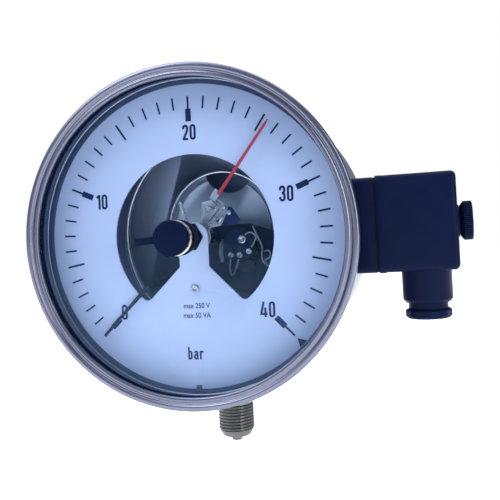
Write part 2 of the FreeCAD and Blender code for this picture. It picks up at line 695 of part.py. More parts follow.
def terminal_screws():
    """Cross-head terminal screws."""
    screws = []
    for index, (x, z) in enumerate(TERMINALS):
        head_r = 2.2 if index == 0 else 1.5
        screws.append(pan_head_screw(x, z, BLOCK_Y[0], head_r, 1.0, 1.0, -33.5))
    return group(screws)


def wire(points, radius):
    """Round wire through corner points, each corner rounded by an arc."""
    vectors = [Vector(*p) for p in points]
    edges = []
    start = vectors[0]
    for before, corner, after in zip(vectors, vectors[1:], vectors[2:]):
        inward = corner.sub(before)
        outward = after.sub(corner)
        reach = 0.45 * min(inward.Length, outward.Length)
        inward.normalize()
        outward.normalize()
        p0 = corner.sub(inward * reach)
        p1 = corner.add(outward * reach)
        turn = math.acos(max(-1.0, min(1.0, inward.dot(outward))))
        bisector = outward.sub(inward)
        bisector.normalize()
        arc_r = reach / math.tan(turn / 2)
        middle = corner.add(bisector * (arc_r / math.cos(turn / 2) - arc_r))
        edges.append(Part.LineSegment(start, p0).toShape())
        edges.append(Part.Arc(p0, middle, p1).toShape())
        start = p1
    edges.append(Part.LineSegment(start, vectors[-1]).toShape())
    spine = Part.Wire(edges)
    direction = vectors[1].sub(vectors[0])
    section = Part.Wire([Part.makeCircle(radius, vectors[0], direction)])
    return spine.makePipeShell([section], True, False)


def lead_wires():
    """Two jumpers at the terminals and two leads looped out through the case wall."""
    flat_jumper = ((19.9, -0.1), (22.9, 1.3), (26.6, -1.0), (23.3, -7.0))
    long_jumper = ((11.6, -12.9), (10.9, -18.4), (12.2, -22.9), (14.2, -18.6), (16.1, -13.1))
    leads = [[(x, -41.6, z) for x, z in path] for path in (flat_jumper, long_jumper)]
    leads.append([
        (24.3, -30.1, 3.6), (24.3, -41.0, 4.4), (25.8, -42.6, 1.5), (27.2, -42.6, -1.7), (29.6, -42.6, -6.7),
        (28.7, -42.6, -12.9), (31.1, -42.0, -17.0), (42.0, -41.0, -16.0), (54.0, -40.8, -7.0),
        (63.0, -40.8, 0.8), (81.5, -40.8, 1.8),
    ])
    leads.append([
        (29.4, -30.1, -8.8), (29.8, -40.0, -9.2), (33.3, -41.4, -8.7), (33.1, -41.4, -13.0),
        (29.9, -40.4, -13.6), (32.0, -38.9, -19.0), (43.0, -38.8, -18.0), (55.0, -39.2, -8.0),
        (64.0, -39.2, 0.8), (81.5, -39.2, 1.8),
    ])
    return group([wire(path, WIRE_R) for path in leads])


def cable_grommet():
    """Rubber bush in the case wall round the leads."""
    y, z = PLUG_CENTRE
    bush = fused([along_x(GROMMET_R, 77.0, 81.4, y, z), along_x(GROMMET_R + 1.4, 75.6, 77.0, y, z)])
    return on_plug_line(bush.cut(along_x(3.0, 70, 90, y, z)))


# --- adjusting lock -----------------------------------------------------------------------
LOCK_SHANK_R = 5.4
LOCK_SPINDLE_R = 2.5
LOCK_TRAVEL = 3.0
KEY_ANGLE = 184.5
DRIVER_ANGLE = 103.0


def hexagon(across_flats, y0, y1):
    corner = across_flats / math.sqrt(3)
    return plate([polar(corner, 60 * i) for i in range(6)], y0, y1)


def lock_bush():
    """Black threaded bush of the adjusting lock, in front of and through the glass."""
    body = fused([
        along_y(8.5, -89.5, -88.2),
        hexagon(13.6, -88.2, -82.4),
        along_y(7.2, -82.4, -81.7),
        along_y(LOCK_SHANK_R, -81.7, -74.9),
    ])
    body = body.cut(along_y(6.5 + RUNNING, -90, -82.6))
    return body.cut(along_y(LOCK_SPINDLE_R + RUNNING, -90, -70))


def lock_seal():
    """Flat rubber ring between bush and glass."""
    return ring_y(7.0, LOCK_SHANK_R + 0.1, -81.7, GLASS_FRONT)


def lock_nut():
    """Thin hexagon nut behind the glass."""
    return hexagon(13.0, GLASS_BACK, -75.1).cut(along_y(LOCK_SHANK_R, -80, -70))


def lock_spring():
    """Coil spring that pushes the key back out, swept along quarter-turn arcs."""
    wire_r, coil_r = 0.45, 4.1
    y0, y1 = -93.9, -82.7
    turns = 6
    steps = 8 * turns
    rise = (y1 - y0 - 2 * wire_r) / steps
    points = []
    for i in range(steps + 1):
        x, z = polar(coil_r, 45.0 * i)
        points.append(Vector(x, y0 + wire_r + rise * i, z))
    arcs = [Part.Arc(*points[i:i + 3]).toShape() for i in range(0, steps, 2)]
    section = Part.Wire([Part.makeCircle(wire_r, points[0], Vector(0, 0, 1))])
    return Part.Wire(arcs).makePipeShell([section], True, False)


def lock_sleeve():
    """Brass cap and sleeve that slide into the bush when the key is pressed."""
    sleeve = fused([along_y(8.4, -96.2, -95.0), along_y(6.5, -95.0, -86.2)])
    sleeve = sleeve.cut(along_y(5.0, -94.0, -80))
    return sleeve.cut(along_y(LOCK_SPINDLE_R + RUNNING, -100, -80))


def lock_spindle():
    """Steel spindle with the driver arm behind the glass."""
    arm = tapered_arm(0.0, 2.6, 18.0, 1.8, -74.4, -73.6)
    return fused([along_y(LOCK_SPINDLE_R, -101.0, -73.6), dial_turn(arm, DRIVER_ANGLE)])


def lock_key():
    """Round black key with its lever and a narrower neck behind."""
    disc = turned_y([(0.0, -103.0), (7.7, -103.0), (8.3, -102.3), (8.3, -98.9), (6.6, -98.3),
                     (6.6, -96.4), (0.0, -96.4)])
    lever = dial_turn(tapered_arm(5.0, 3.3, 17.2, 3.3, -102.4, -99.2), KEY_ANGLE)
    return fused([disc, lever]).cut(along_y(LOCK_SPINDLE_R, -101.0, -90))


# --- pointer ------------------------------------------------------------------------------
def pointer_hub():
    """Hub pressed on the arbor's front end."""
    return fused([along_y(3.2, -46.8, -44.5), along_y(4.4, -44.5, -42.0)]).cut(along_y(SHAFT_R, -46.6, -40))


def pointer_blade():
    """Black cranked pointer: inner arm, riser through the dial's opening and outer blade."""
    crank = bent_strip([(2.6, -44.9), (32.6, -44.9), (34.4, -70.4), (36.5, -70.4)], 0.7, 2.2)
    blade = tapered_arm(36.0, 2.2, 69.0, 0.9, -70.75, -70.05)
    tip = plate([(69.0, -0.45), (69.6, 0.0), (69.0, 0.45)], -70.75, -70.05)
    whole = fused([crank, blade, tip]).cut(along_y(3.2, -50, -40))
    return dial_turn(whole, ZERO_ANGLE)


# --- plug connector -----------------------------------------------------------------------
PIN_YZ = [(PLUG_CENTRE[0] + dy, PLUG_CENTRE[1] + dz) for dz in (-11.0, 0.0, 11.0) for dy in (-7.5, 7.5)]
PIN_YZ.append((PLUG_CENTRE[0], PLUG_CENTRE[1] + 15.0))
PIN_R = 1.5
THUMB_SHANK_R = 2.0
BASE_NUT_R = 5.4
BASE_NUT_X = (82.0, SADDLE_END)
X_AXIS = Vector(1, 0, 0)


def connector_base():
    """Saddle on the case wall that the plug sits on."""
    body = rounded_box(70.0, SADDLE_END, PLUG_Y[0] + 0.4, PLUG_Y[1] - 0.4, PLUG_Z[0], PLUG_Z[1] - 0.5,
                       3.6, X_AXIS)
    body = body.cut(along_y(CASE_R, -70, 0))
    body = body.cut(along_x(7.5, 70, BASE_NUT_X[0], *PLUG_CENTRE))
    body = body.cut(along_x(BASE_NUT_R, 70, 90, *PLUG_CENTRE))
    for y, z in PIN_YZ:
        body = body.cut(along_x(PIN_R, 84.5, 90, y, z))
    for y, z in BASE_SCREW_YZ:
        body = body.cut(along_x(1.6, 60, 90, y, z)).cut(along_x(2.9, 85.2, 90, y, z))
    return on_plug_line(body)


def base_nut():
    """Brass insert in the saddle that the plug's screw enters."""
    nut = along_x(BASE_NUT_R, *BASE_NUT_X, *PLUG_CENTRE)
    return on_plug_line(nut.cut(along_x(THUMB_SHANK_R + RUNNING, 70, 90, *PLUG_CENTRE)))


def base_screws():
    """Four screws that hold the saddle to the case."""
    return on_plug_line(group([
        fused([along_x(2.8, 85.2, 87.6, y, z), along_x(1.5, 74.0, 85.2, y, z)]) for y, z in BASE_SCREW_YZ
    ]))


def connector_pins():
    """Contact pins moulded into the saddle."""
    return on_plug_line(group([along_x(PIN_R, 84.5, 101.0, y, z) for y, z in PIN_YZ]))


def connector_gasket():
    """Flat profile gasket between saddle and plug."""
    ring = rounded_box(SADDLE_END, PLUG_X[0], PLUG_Y[0] + 0.5, PLUG_Y[1] - 0.5, PLUG_Z[0] + 0.2,
                       PLUG_Z[1] - 0.7, 3.6, X_AXIS)
    inside = block(80, 95, PLUG_Y[0] + 3, PLUG_Y[1] - 3, PLUG_Z[0] + 3, PLUG_Z[1] - 3)
    return on_plug_line(ring.cut(inside))


def connector_housing():
    """Angled plug housing with a rim at the saddle and the cable gland's neck pointing down."""
    wall = 2.6
    x0, x1 = PLUG_X
    y0, y1 = PLUG_Y
    z0, z1 = PLUG_Z
    body = rounded_box(x0, x1, y0, y1, z0, z1, 3.6, X_AXIS)
    far = [e for e in body.Edges if all(abs(v.Point.x - x1) < 0.01 for v in e.Vertexes)]
    body = body.makeFillet(2.6, far)
    rim = rounded_box(x0, 93.2, y0 - 0.3, y1 + 0.3, z0 - 0.3, z1 + 0.1, 3.6, X_AXIS)
    middle_y = PLUG_CENTRE[0]
    neck = turned_z([(0.0, z0 + 4), (GLAND_R, z0 + 4), (GLAND_R, -37.6), (GLAND_R - 1.4, -39.3),
                     (9.7, -39.3), (9.7, -45.6), (0.0, -45.6)], GLAND_X, middle_y)
    collar = along_x(8.0, x1 - 1, x1 + 1.0, *PLUG_CENTRE)
    body = fused([body, rim, neck, collar])
    body = body.cut(block(x0 - 1, x1 - wall, y0 + wall, y1 - wall, z0 + wall, z1 - wall))
    body = body.cut(along_z(8.2, -60, z0 + 10, GLAND_X, middle_y))
    return on_plug_line(body.cut(along_x(THUMB_SHANK_R + 0.15, 80, 140, *PLUG_CENTRE)))


def terminal_insert():
    """Insert with the sockets and screw terminals, held in the plug housing."""
    y0, y1 = PLUG_Y
    z0, z1 = PLUG_Z
    wall = 2.6
    body = block(90.6, 103.6, y0 + wall, y1 - wall, z0 + wall, z1 - wall)
    body = body.cut(along_x(THUMB_SHANK_R + 0.15, 80, 140, *PLUG_CENTRE))
    for y, z in PIN_YZ:
        body = body.cut(along_x(PIN_R + 0.1, 80, 140, y, z))
    for y, z in BASE_SCREW_YZ:
        body = body.cut(along_x(3.2, 80, 92.6, y, z))
    return on_plug_line(body)


def gland_seal():
    """Rubber ring that grips the cable."""
    ring = along_z(8.2, -45.2, -36.6, GLAND_X, PLUG_CENTRE[0])
    return on_plug_line(ring.cut(along_z(5.0, -60, -30, GLAND_X, PLUG_CENTRE[0])))


def gland_nut():
    """Faceted gland nut on the housing's neck."""
    y = PLUG_CENTRE[0]
    low, high = -47.2, -42.6
    profile = [(0.0, high), (10.6, high), (11.4, high - 0.7), (11.4, low + 1.2), (10.3, low), (0.0, low)]
    outer = turned_z(profile, GLAND_X, y)
    corner = 10.9 / math.cos(math.radians(22.5))
    points = []
    for i in range(9):
        a = math.radians(22.5 + 45.0 * i)
        points.append(Vector(GLAND_X + corner * math.cos(a), y + corner * math.sin(a), low + 1.0))
    facets = Part.Face(Part.makePolygon(points)).extrude(Vector(0, 0, high - low - 2.0))
    upper = along_z(12, high - 1.0, high + 1, GLAND_X, y)
    lower = along_z(12, low - 1, low + 1.0, GLAND_X, y)
    nut = outer.common(fused([facets, upper, lower]))
    nut = nut.cut(along_z(9.7 + RUNNING, low + 1.4, -30, GLAND_X, y))
    return on_plug_line(nut.cut(along_z(6.2, -60, -30, GLAND_X, y)))


def thumb_screw():
    """Knurled captive screw through the plug into the saddle."""
    y, z = PLUG_CENTRE
    x0, x1 = 129.5, 135.5
    head_r = 9.6
    head = along_x(head_r - 0.35, x0, x1, y, z)
    flutes = 30
    ridge = Part.makeBox(x1 - x0, 0.9, 0.6, Vector(x0, y - 0.45, z + head_r - 0.6))
    ridges = []
    for i in range(flutes):
        tooth = ridge.copy()
        tooth.rotate(Vector(0, y, z), X_AXIS, 360.0 * i / flutes)
        ridges.append(tooth)
    head = fused([head] + ridges)
    chamfer = 1.8
    keep = Part.makeCone(head_r - 2.2, head_r, chamfer, Vector(x0, y, z), X_AXIS)
    keep = fused([keep, along_x(head_r, x0 + chamfer, x1 - 0.5, y, z),
                  Part.makeCone(head_r, head_r - 0.5, 0.5, Vector(x1 - 0.5, y, z), X_AXIS)])
    neck = along_x(5.0, PLUG_X[1] + 1.0, x0 + 0.5, y, z)
    shank = along_x(THUMB_SHANK_R, 83.0, x0, y, z)
    return on_plug_line(fused([head.common(keep), neck, shank]))


BUILDERS = (
    case_shell, bezel_ring, window_glass, window_gasket, rear_blowout_plug, baffle_wall, dial_carrier, dial,
    process_stem, stem_seal, stem_screws, bourdon_tube, tube_end_piece, drive_link,
    pointer_shaft, sector_gear, movement_rear_plate, movement_front_plate, movement_pillars,
    movement_screws, hairspring, hairspring_collet,
    contact_bridge, bridge_screws, zero_stop, dial_screw,
    set_hub, hub_clip, set_plate, plate_screw, set_arm, set_blade, drive_pin,
    magnet_block, fixed_contact, contact_arm,
    insulating_plate, terminal_block, terminal_screws, lead_wires, cable_grommet,
    lock_bush, lock_seal, lock_nut, lock_spring, lock_sleeve, lock_spindle, lock_key,
    pointer_hub, pointer_blade,
    connector_base, base_nut, base_screws, connector_pins, connector_gasket, connector_housing,
    terminal_insert, gland_seal, gland_nut, thumb_screw,
)


def main():
    os.makedirs("parts", exist_ok=True)
    for build in BUILDERS:
        shape = build()
        good = all(s.isValid() and s.Volume > 0 for s in shape.Solids)
        print(f"{build.__name__:22s} solids {len(shape.Solids)} volume {shape.Volume:10.1f} valid {good}")
        export(build.__name__, shape)


main()
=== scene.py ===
import json
import math

import bmesh
import bpy
from mathutils import Matrix, Vector

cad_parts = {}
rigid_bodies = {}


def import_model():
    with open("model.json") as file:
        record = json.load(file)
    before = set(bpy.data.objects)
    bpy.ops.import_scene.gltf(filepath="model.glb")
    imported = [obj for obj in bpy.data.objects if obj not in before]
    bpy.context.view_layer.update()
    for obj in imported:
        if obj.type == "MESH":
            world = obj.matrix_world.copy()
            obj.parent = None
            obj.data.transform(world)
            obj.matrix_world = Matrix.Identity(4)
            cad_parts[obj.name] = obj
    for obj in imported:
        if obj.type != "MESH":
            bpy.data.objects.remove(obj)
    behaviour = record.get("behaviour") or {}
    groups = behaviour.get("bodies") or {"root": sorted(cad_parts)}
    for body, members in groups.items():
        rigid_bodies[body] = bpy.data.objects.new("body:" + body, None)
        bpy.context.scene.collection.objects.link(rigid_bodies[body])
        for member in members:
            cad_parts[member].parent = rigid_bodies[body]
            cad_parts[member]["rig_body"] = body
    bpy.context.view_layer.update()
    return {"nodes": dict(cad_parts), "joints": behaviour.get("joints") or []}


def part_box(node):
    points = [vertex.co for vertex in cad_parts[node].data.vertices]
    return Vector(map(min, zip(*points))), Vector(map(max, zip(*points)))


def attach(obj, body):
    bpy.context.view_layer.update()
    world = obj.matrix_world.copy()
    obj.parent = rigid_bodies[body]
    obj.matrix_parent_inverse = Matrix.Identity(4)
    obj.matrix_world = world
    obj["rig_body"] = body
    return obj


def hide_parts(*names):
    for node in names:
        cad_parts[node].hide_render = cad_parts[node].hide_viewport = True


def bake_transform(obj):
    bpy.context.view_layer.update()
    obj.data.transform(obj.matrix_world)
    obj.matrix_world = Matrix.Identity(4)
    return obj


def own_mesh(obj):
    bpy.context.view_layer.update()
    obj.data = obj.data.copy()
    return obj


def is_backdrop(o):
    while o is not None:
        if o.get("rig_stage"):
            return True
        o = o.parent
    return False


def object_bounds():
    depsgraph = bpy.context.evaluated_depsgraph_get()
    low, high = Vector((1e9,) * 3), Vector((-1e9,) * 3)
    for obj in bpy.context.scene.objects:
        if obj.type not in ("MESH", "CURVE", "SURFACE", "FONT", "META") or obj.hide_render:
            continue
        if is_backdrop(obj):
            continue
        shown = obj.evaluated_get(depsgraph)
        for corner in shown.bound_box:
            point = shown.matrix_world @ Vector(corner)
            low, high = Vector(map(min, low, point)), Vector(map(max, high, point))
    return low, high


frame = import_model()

# The looks of a nominal size 160 contact pressure gauge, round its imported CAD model.
# Lengths in calls are millimetres in dial coordinates: X right, Y into the case, Z up, from the
# point where the dial's axis meets the stem's axis. at() turns them into the frame's metres.

nodes = frame["nodes"]
joints = {joint["name"]: joint for joint in frame["joints"]}

MM = 0.001
DIAL_HEIGHT = joints["pointer_turn"]["pos_m"][2] / MM
TAU = 2.0 * math.pi


def low(node):
    """Lowest corner of a CAD node, in millimetres of dial coordinates."""
    x, y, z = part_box(node)[0] / MM
    return Vector((x, y, z - DIAL_HEIGHT))


def high(node):
    """Highest corner of a CAD node, in millimetres of dial coordinates."""
    x, y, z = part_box(node)[1] / MM
    return Vector((x, y, z - DIAL_HEIGHT))


def at(x, y, z):
    return Vector((x, y, z + DIAL_HEIGHT)) * MM


DIAL_FRONT = low("dial").y
BEZEL_R = high("bezel_ring").x
BEZEL_FRONT = low("bezel_ring").y
BEZEL_BACK = high("bezel_ring").y
BEZEL_LIP_R = 77.2          # the window is seen inside this radius
CASE_R = 80.0
CASE_WALL = 1.4
CASE_FRONT = low("case_shell").y
CASE_BACK = high("case_shell").y
GLASS_R = 79.3
GLASS_FRONT, GLASS_BACK = -80.9, -76.9
PLUG_TILT = 1.1             # the plug is drawn along X, then turned this far up round the dial axis
PLUG_CENTRE = (-40.0, 0.2)  # (y, z) of the plug's line
GLAND_X = 112.15
THREAD_R = 10.4775          # G 1/2 B, 14 threads to the inch
THREAD_DEPTH = 1.162
THREAD_PITCH = 25.4 / 14
STEM_END = -DIAL_HEIGHT
SPANNER_HALF = 11.0
ZERO_ANGLE = 225.0          # degrees from X, at 0 bar
FULL_SCALE, SCALE_SWEEP = 40, 270.0
SET_ANGLE = 53.3


# --- materials ----------------------------------------------------------------------------
class Finish:
    """A procedural material with helpers that add its detail step by step."""

    def __init__(self, name, colour, metallic=0.0, roughness=0.5, **more):
        self.material = bpy.data.materials.new(name)
        self.material.use_nodes = True
        self.tree = self.material.node_tree
        self.shader = self.tree.nodes["Principled BSDF"]
        self.colour = colour
        self.roughness = roughness
        self.set("Base Color", (*colour, 1.0))
        self.set("Metallic", metallic)
        self.set("Roughness", roughness)
        for label, value in more.items():
            self.set(label.replace("_", " ").title().replace("Ior", "IOR"), value)
        self.normal = None
        self.place = self.node("ShaderNodeTexCoord").outputs["Object"]
        self.material.diffuse_color = (*colour, 1.0)

    def node(self, kind, **settings):
        made = self.tree.nodes.new(kind)
        for label, value in settings.items():
            setattr(made, label, value)
        return made

    def set(self, label, value):
        self.shader.inputs[label].default_value = value

    def link(self, source, target):
        self.tree.links.new(source, target)

    def math(self, operation, a, b=0.0, clamp=False):
        made = self.node("ShaderNodeMath", operation=operation, use_clamp=clamp)
        for socket, value in zip(made.inputs, (a, b)):
            if isinstance(value, (int, float)):
                socket.default_value = value
            else:
                self.link(value, socket)
        return made.outputs[0]

    def stretched(self, x, y, z):
        """Object coordinates scaled per axis, in patterns per millimetre."""
        made = self.node("ShaderNodeVectorMath", operation="MULTIPLY")
        self.link(self.place, made.inputs[0])
        made.inputs[1].default_value = (x / MM, y / MM, z / MM)
        return made.outputs[0]

    def around(self, axis, centre, radial, along, turning=0.0):
        """Coordinates of a turned surface: radius, height and angle, in patterns per millimetre."""
        parts = self.node("ShaderNodeSeparateXYZ")
        self.link(self.place, parts.inputs[0])
        names = {"x": ("Y", "Z", "X"), "y": ("X", "Z", "Y"), "z": ("X", "Y", "Z")}[axis]
        u = self.math("SUBTRACT", parts.outputs[names[0]], centre[0])
        v = self.math("SUBTRACT", parts.outputs[names[1]], centre[1])
        squares = self.math("ADD", self.math("MULTIPLY", u, u), self.math("MULTIPLY", v, v))
        radius = self.math("SQRT", squares)
        angle = self.math("ARCTAN2", v, u)
        made = self.node("ShaderNodeCombineXYZ")
        self.link(self.math("MULTIPLY", radius, radial / MM), made.inputs[0])
        self.link(self.math("MULTIPLY", parts.outputs[names[2]], along / MM), made.inputs[1])
        self.link(self.math("MULTIPLY", angle, turning), made.inputs[2])
        return made.outputs[0]

    def noise(self, vector, detail=3.0, rough=0.55, scale=1.0):
        made = self.node("ShaderNodeTexNoise")
        made.inputs["Scale"].default_value = scale
        made.inputs["Detail"].default_value = detail
        made.inputs["Roughness"].default_value = rough
        self.link(vector, made.inputs["Vector"])
        return made.outputs["Fac"]

    def span(self, value, low_value, high_value, start=0.3, end=0.7):
        made = self.node("ShaderNodeMapRange")
        for label, number in (("From Min", start), ("From Max", end),
                              ("To Min", low_value), ("To Max", high_value)):
            made.inputs[label].default_value = number
        self.link(value, made.inputs["Value"])
        return made.outputs["Result"]

    def vary_colour(self, fac, darker, lighter):
        """The base colour runs between two multiples of itself."""
        ramp = self.node("ShaderNodeMix", data_type="RGBA")
        ramp.inputs[6].default_value = (*(c * darker for c in self.colour), 1.0)
        ramp.inputs[7].default_value = (*(min(1.0, c * lighter) for c in self.colour), 1.0)
        self.link(fac, ramp.inputs[0])
        self.link(ramp.outputs[2], self.shader.inputs["Base Color"])

    def vary_roughness(self, fac, spread):
        lowest = max(0.02, self.roughness - spread)
        self.link(self.span(fac, lowest, self.roughness + spread), self.shader.inputs["Roughness"])

    def bump(self, height, depth_mm, strength=1.0):
        """Relief of a given depth, on top of any relief that is already there."""
        made = self.node("ShaderNodeBump")
        made.inputs["Strength"].default_value = strength
        made.inputs["Distance"].default_value = depth_mm * MM
        self.link(height, made.inputs["Height"])
        if self.normal is not None:
            self.link(self.normal, made.inputs["Normal"])
        self.normal = made.outputs[0]
        self.link(self.normal, self.shader.inputs["Normal"])


def turned_steel(name, colour, roughness, axis, centre, groove=0.006, pitch=2.2):
    """Steel with the fine grooves that a lathe tool or a polishing belt leaves."""
    finish = Finish(name, colour, metallic=1.0, roughness=roughness)
    grooves = finish.noise(finish.around(axis, centre, pitch, pitch, 0.5), detail=4.0, rough=0.7)
    smears = finish.noise(finish.around(axis, centre, 0.25, 0.25, 6.0), detail=3.0)
    finish.vary_colour(smears, 0.9, 1.08)
    finish.vary_roughness(grooves, 0.09)
    finish.bump(grooves, groove)
    return finish.material


def brushed_sheet(name, colour, roughness, stretch, groove=0.004):
    """Sheet metal with straight brush lines; stretch gives patterns per millimetre on each axis."""
    finish = Finish(name, colour, metallic=1.0, roughness=roughness)
    lines = finish.noise(finish.stretched(*stretch), detail=4.0, rough=0.7)
    blotches = finish.noise(finish.stretched(0.08, 0.08, 0.08), detail=4.0)
    finish.vary_colour(blotches, 0.86, 1.1)
    finish.vary_roughness(lines, 0.1)
    finish.bump(lines, groove)
    return finish.material


def enamel(name, colour, roughness, grain=3.0, depth=0.006, shine=0.3):
    """Lacquered metal with a faint orange peel."""
    finish = Finish(name, colour, roughness=roughness, specular_ior_level=shine)
    peel = finish.noise(finish.stretched(grain, grain, grain), detail=2.0)
    clouds = finish.noise(finish.stretched(0.05, 0.05, 0.05), detail=3.0)
    finish.vary_colour(clouds, 0.97, 1.02)
    finish.vary_roughness(clouds, 0.05)
    finish.bump(peel, depth)
    return finish.material


def moulding(name, colour, roughness, grain=4.0, depth=0.02, shine=0.25):
    """Moulded plastic or rubber: eroded grain, handling marks and slight fading."""
    finish = Finish(name, colour, roughness=roughness, specular_ior_level=shine)
    texture = finish.noise(finish.stretched(grain, grain, grain), detail=3.0, rough=0.6)
    marks = finish.noise(finish.stretched(0.12, 0.12, 0.12), detail=5.0, rough=0.65)
    finish.vary_colour(marks, 0.85, 1.25)
    finish.vary_roughness(marks, 0.08)
    finish.bump(texture, depth)
    return finish.material


def plated(name, colour, roughness, blotch=0.4):
    """Plated or turned small metal parts, slightly uneven in tone."""
    finish = Finish(name, colour, metallic=1.0, roughness=roughness)
    cloud = finish.noise(finish.stretched(blotch, blotch, blotch), detail=4.0)
    fine = finish.noise(finish.stretched(6.0, 6.0, 6.0), detail=3.0)
    finish.vary_colour(cloud, 0.82, 1.1)
    finish.vary_roughness(cloud, 0.08)
    finish.bump(fine, 0.004)
    return finish.material


def window_pane():
    """Clear glass: see-through with a mirror-like coat that grows towards grazing angles."""
    finish = Finish("safety_glass", (0.93, 0.96, 1.0), roughness=0.02)
    smudge = finish.noise(finish.stretched(0.03, 0.03, 0.03), detail=4.0)
    clear = finish.node("ShaderNodeBsdfTransparent")
    clear.inputs["Color"].default_value = (0.93, 0.96, 0.985, 1.0)
    gloss = finish.node("ShaderNodeBsdfGlossy")
    gloss.inputs["Color"].default_value = (0.4, 0.65, 1.0, 1.0)
    finish.link(finish.span(smudge, 0.01, 0.06), gloss.inputs["Roughness"])
    facing = finish.node("ShaderNodeLayerWeight")
    facing.inputs["Blend"].default_value = 0.5
    grazing = finish.math("POWER", facing.outputs["Facing"], 5.0)
    weight = finish.math("ADD", finish.math("MULTIPLY", grazing, 0.5), 0.02)
    mix = finish.node("ShaderNodeMixShader")
    finish.link(weight, mix.inputs[0])
    finish.link(clear.outputs[0], mix.inputs[1])
    finish.link(gloss.outputs[0], mix.inputs[2])
    output = finish.tree.nodes["Material Output"]
    finish.link(mix.outputs[0], output.inputs["Surface"])
    return finish.material


AXIS_Y = (0.0, DIAL_HEIGHT * MM)
M = {
    "bezel": turned_steel("polished_bezel_steel", (0.18, 0.19, 0.255), 0.27, "y", AXIS_Y, 0.008, 1.6),
    "case": turned_steel("satin_case_steel", (0.24, 0.25, 0.3), 0.36, "y", AXIS_Y, 0.004, 1.2),
    # Painted shade: a darker, bluer copy of the case steel for every face inside the case; the dial carrier
    # wears it too.
    "inside": turned_steel("inner_wall_painted_shade", (0.15, 0.18, 0.27), 0.45, "y", AXIS_Y, 0.004, 1.2),
    "stem": turned_steel("turned_stem_steel", (0.2, 0.2, 0.2), 0.15, "z", (0.0, 0.0), 0.008, 1.6),
    "baffle": turned_steel("spun_baffle_steel", (0.34, 0.39, 0.54), 0.36, "y", AXIS_Y, 0.006, 0.9),
    # Painted highlight: near-white steel for the frontmost crests of the baffle wall.
    "bead": turned_steel("baffle_crest_painted_highlight", (0.8, 0.82, 0.86), 0.3, "y", AXIS_Y),
    # Painted highlight: a lighter copy of the case steel on the faces of the bead inside the case.
    "rim": turned_steel("bead_line_painted_highlight", (0.34, 0.36, 0.42), 0.35, "y", AXIS_Y),
    "sheet": brushed_sheet("brushed_grey_sheet", (0.36, 0.41, 0.49), 0.45, (0.4, 5.0, 5.0)),
    "front_plate": brushed_sheet("satin_front_plate", (0.44, 0.51, 0.63), 0.45, (4.0, 4.0, 0.3)),
    "tube": plated("drawn_tube", (0.5, 0.48, 0.46), 0.3, 0.1),
    "spring": plated("spring_steel", (0.45, 0.48, 0.54), 0.25, 0.8),
    "brass": plated("turned_brass", (0.62, 0.46, 0.2), 0.3, 0.3),
    "screw": plated("zinc_plated_steel", (0.42, 0.46, 0.52), 0.28, 0.9),
    "contact": plated("silver_contact", (0.5, 0.53, 0.6), 0.25, 0.9),
    "cap": plated("bright_cap", (0.9, 0.86, 0.78), 0.3, 0.5),
    "dial": enamel("dial_enamel", (0.435, 0.505, 0.71), 0.5, 2.0, 0.003),
    "ink": enamel("black_dial_ink", (0.008, 0.018, 0.06), 0.6, 4.0, 0.004, 0.05),
    "red": enamel("red_lacquer", (0.37, 0.028, 0.045), 0.4, 3.0, 0.004),
    "black": enamel("black_lacquer", (0.005, 0.009, 0.022), 0.4, 3.0, 0.006, 0.12),
    "plug": moulding("black_plug_moulding", (0.003, 0.007, 0.03), 0.38, 3.0, 0.02, 0.05),
    "knob": moulding("black_key_moulding", (0.002, 0.006, 0.026), 0.42, 5.0, 0.01, 0.04),
    "dark": moulding("dark_switch_moulding", (0.006, 0.017, 0.06), 0.3, 4.0, 0.012, 0.08),
    "rubber": moulding("matt_rubber", (0.005, 0.009, 0.026), 0.6, 6.0, 0.01, 0.06),
    "wire": moulding("grey_lead_jacket", (0.3, 0.34, 0.44), 0.35, 5.0, 0.006),
    "glass": window_pane(),
}


# --- mesh helpers -------------------------------------------------------------------------
def rounded(corners, radius, steps=4, closed=True):
    """Corner points (a, b) with every corner turned into a small arc."""
    count = len(corners)
    made = []
    for i, corner in enumerate(corners):
        if not closed and i in (0, count - 1):
            made.append(tuple(corner))
            continue
        p = Vector(corner)
        before, after = Vector(corners[i - 1]) - p, Vector(corners[(i + 1) % count]) - p
        reach = min(radius, 0.45 * before.length, 0.45 * after.length)
        start, end = p + before.normalized() * reach, p + after.normalized() * reach
        for k in range(steps + 1):
            t = k / steps
            made.append(tuple(start * (1 - t) ** 2 + p * 2 * t * (1 - t) + end * t * t))
    return made


def placed(axis, centre, u, v, height):
    """A point of a turned body, with its axis along x, y or z through centre."""
    if axis == "x":
        return at(height, centre[0] + u, centre[1] + v)
    if axis == "y":
        return at(centre[0] + u, height, centre[1] + v)
    return at(centre[0] + u, centre[1] + v, height)


def turned(profile, axis="y", centre=(0.0, 0.0), segments=192, shape=None):
    """Closed surface turned about an axis from (radius, height) points. A profile that starts and
    ends on the axis is capped there; any other is a closed ring. shape(angle, radius, height)
    changes the radius for flats, flutes and threads."""
    bm = bmesh.new()
    capped = profile[0][0] < 1e-6 and profile[-1][0] < 1e-6
    rings = []
    for radius, height in profile:
        if radius < 1e-6:
            rings.append([bm.verts.new(placed(axis, centre, 0.0, 0.0, height))])
            continue
        ring = []
        for i in range(segments):
            a = TAU * i / segments
            r = shape(a, radius, height) if shape else radius
            ring.append(bm.verts.new(placed(axis, centre, r * math.cos(a), r * math.sin(a), height)))
        rings.append(ring)
    pairs = list(zip(rings, rings[1:]))
    if not capped:
        pairs.append((rings[-1], rings[0]))
    for one, two in pairs:
        for i in range(segments):
            j = (i + 1) % segments
            if len(one) == 1:
                bm.faces.new((one[0], two[i], two[j]))
            elif len(two) == 1:
                bm.faces.new((one[i], two[0], one[j]))
            else:
                bm.faces.new((one[i], two[i], two[j], one[j]))
    return bm


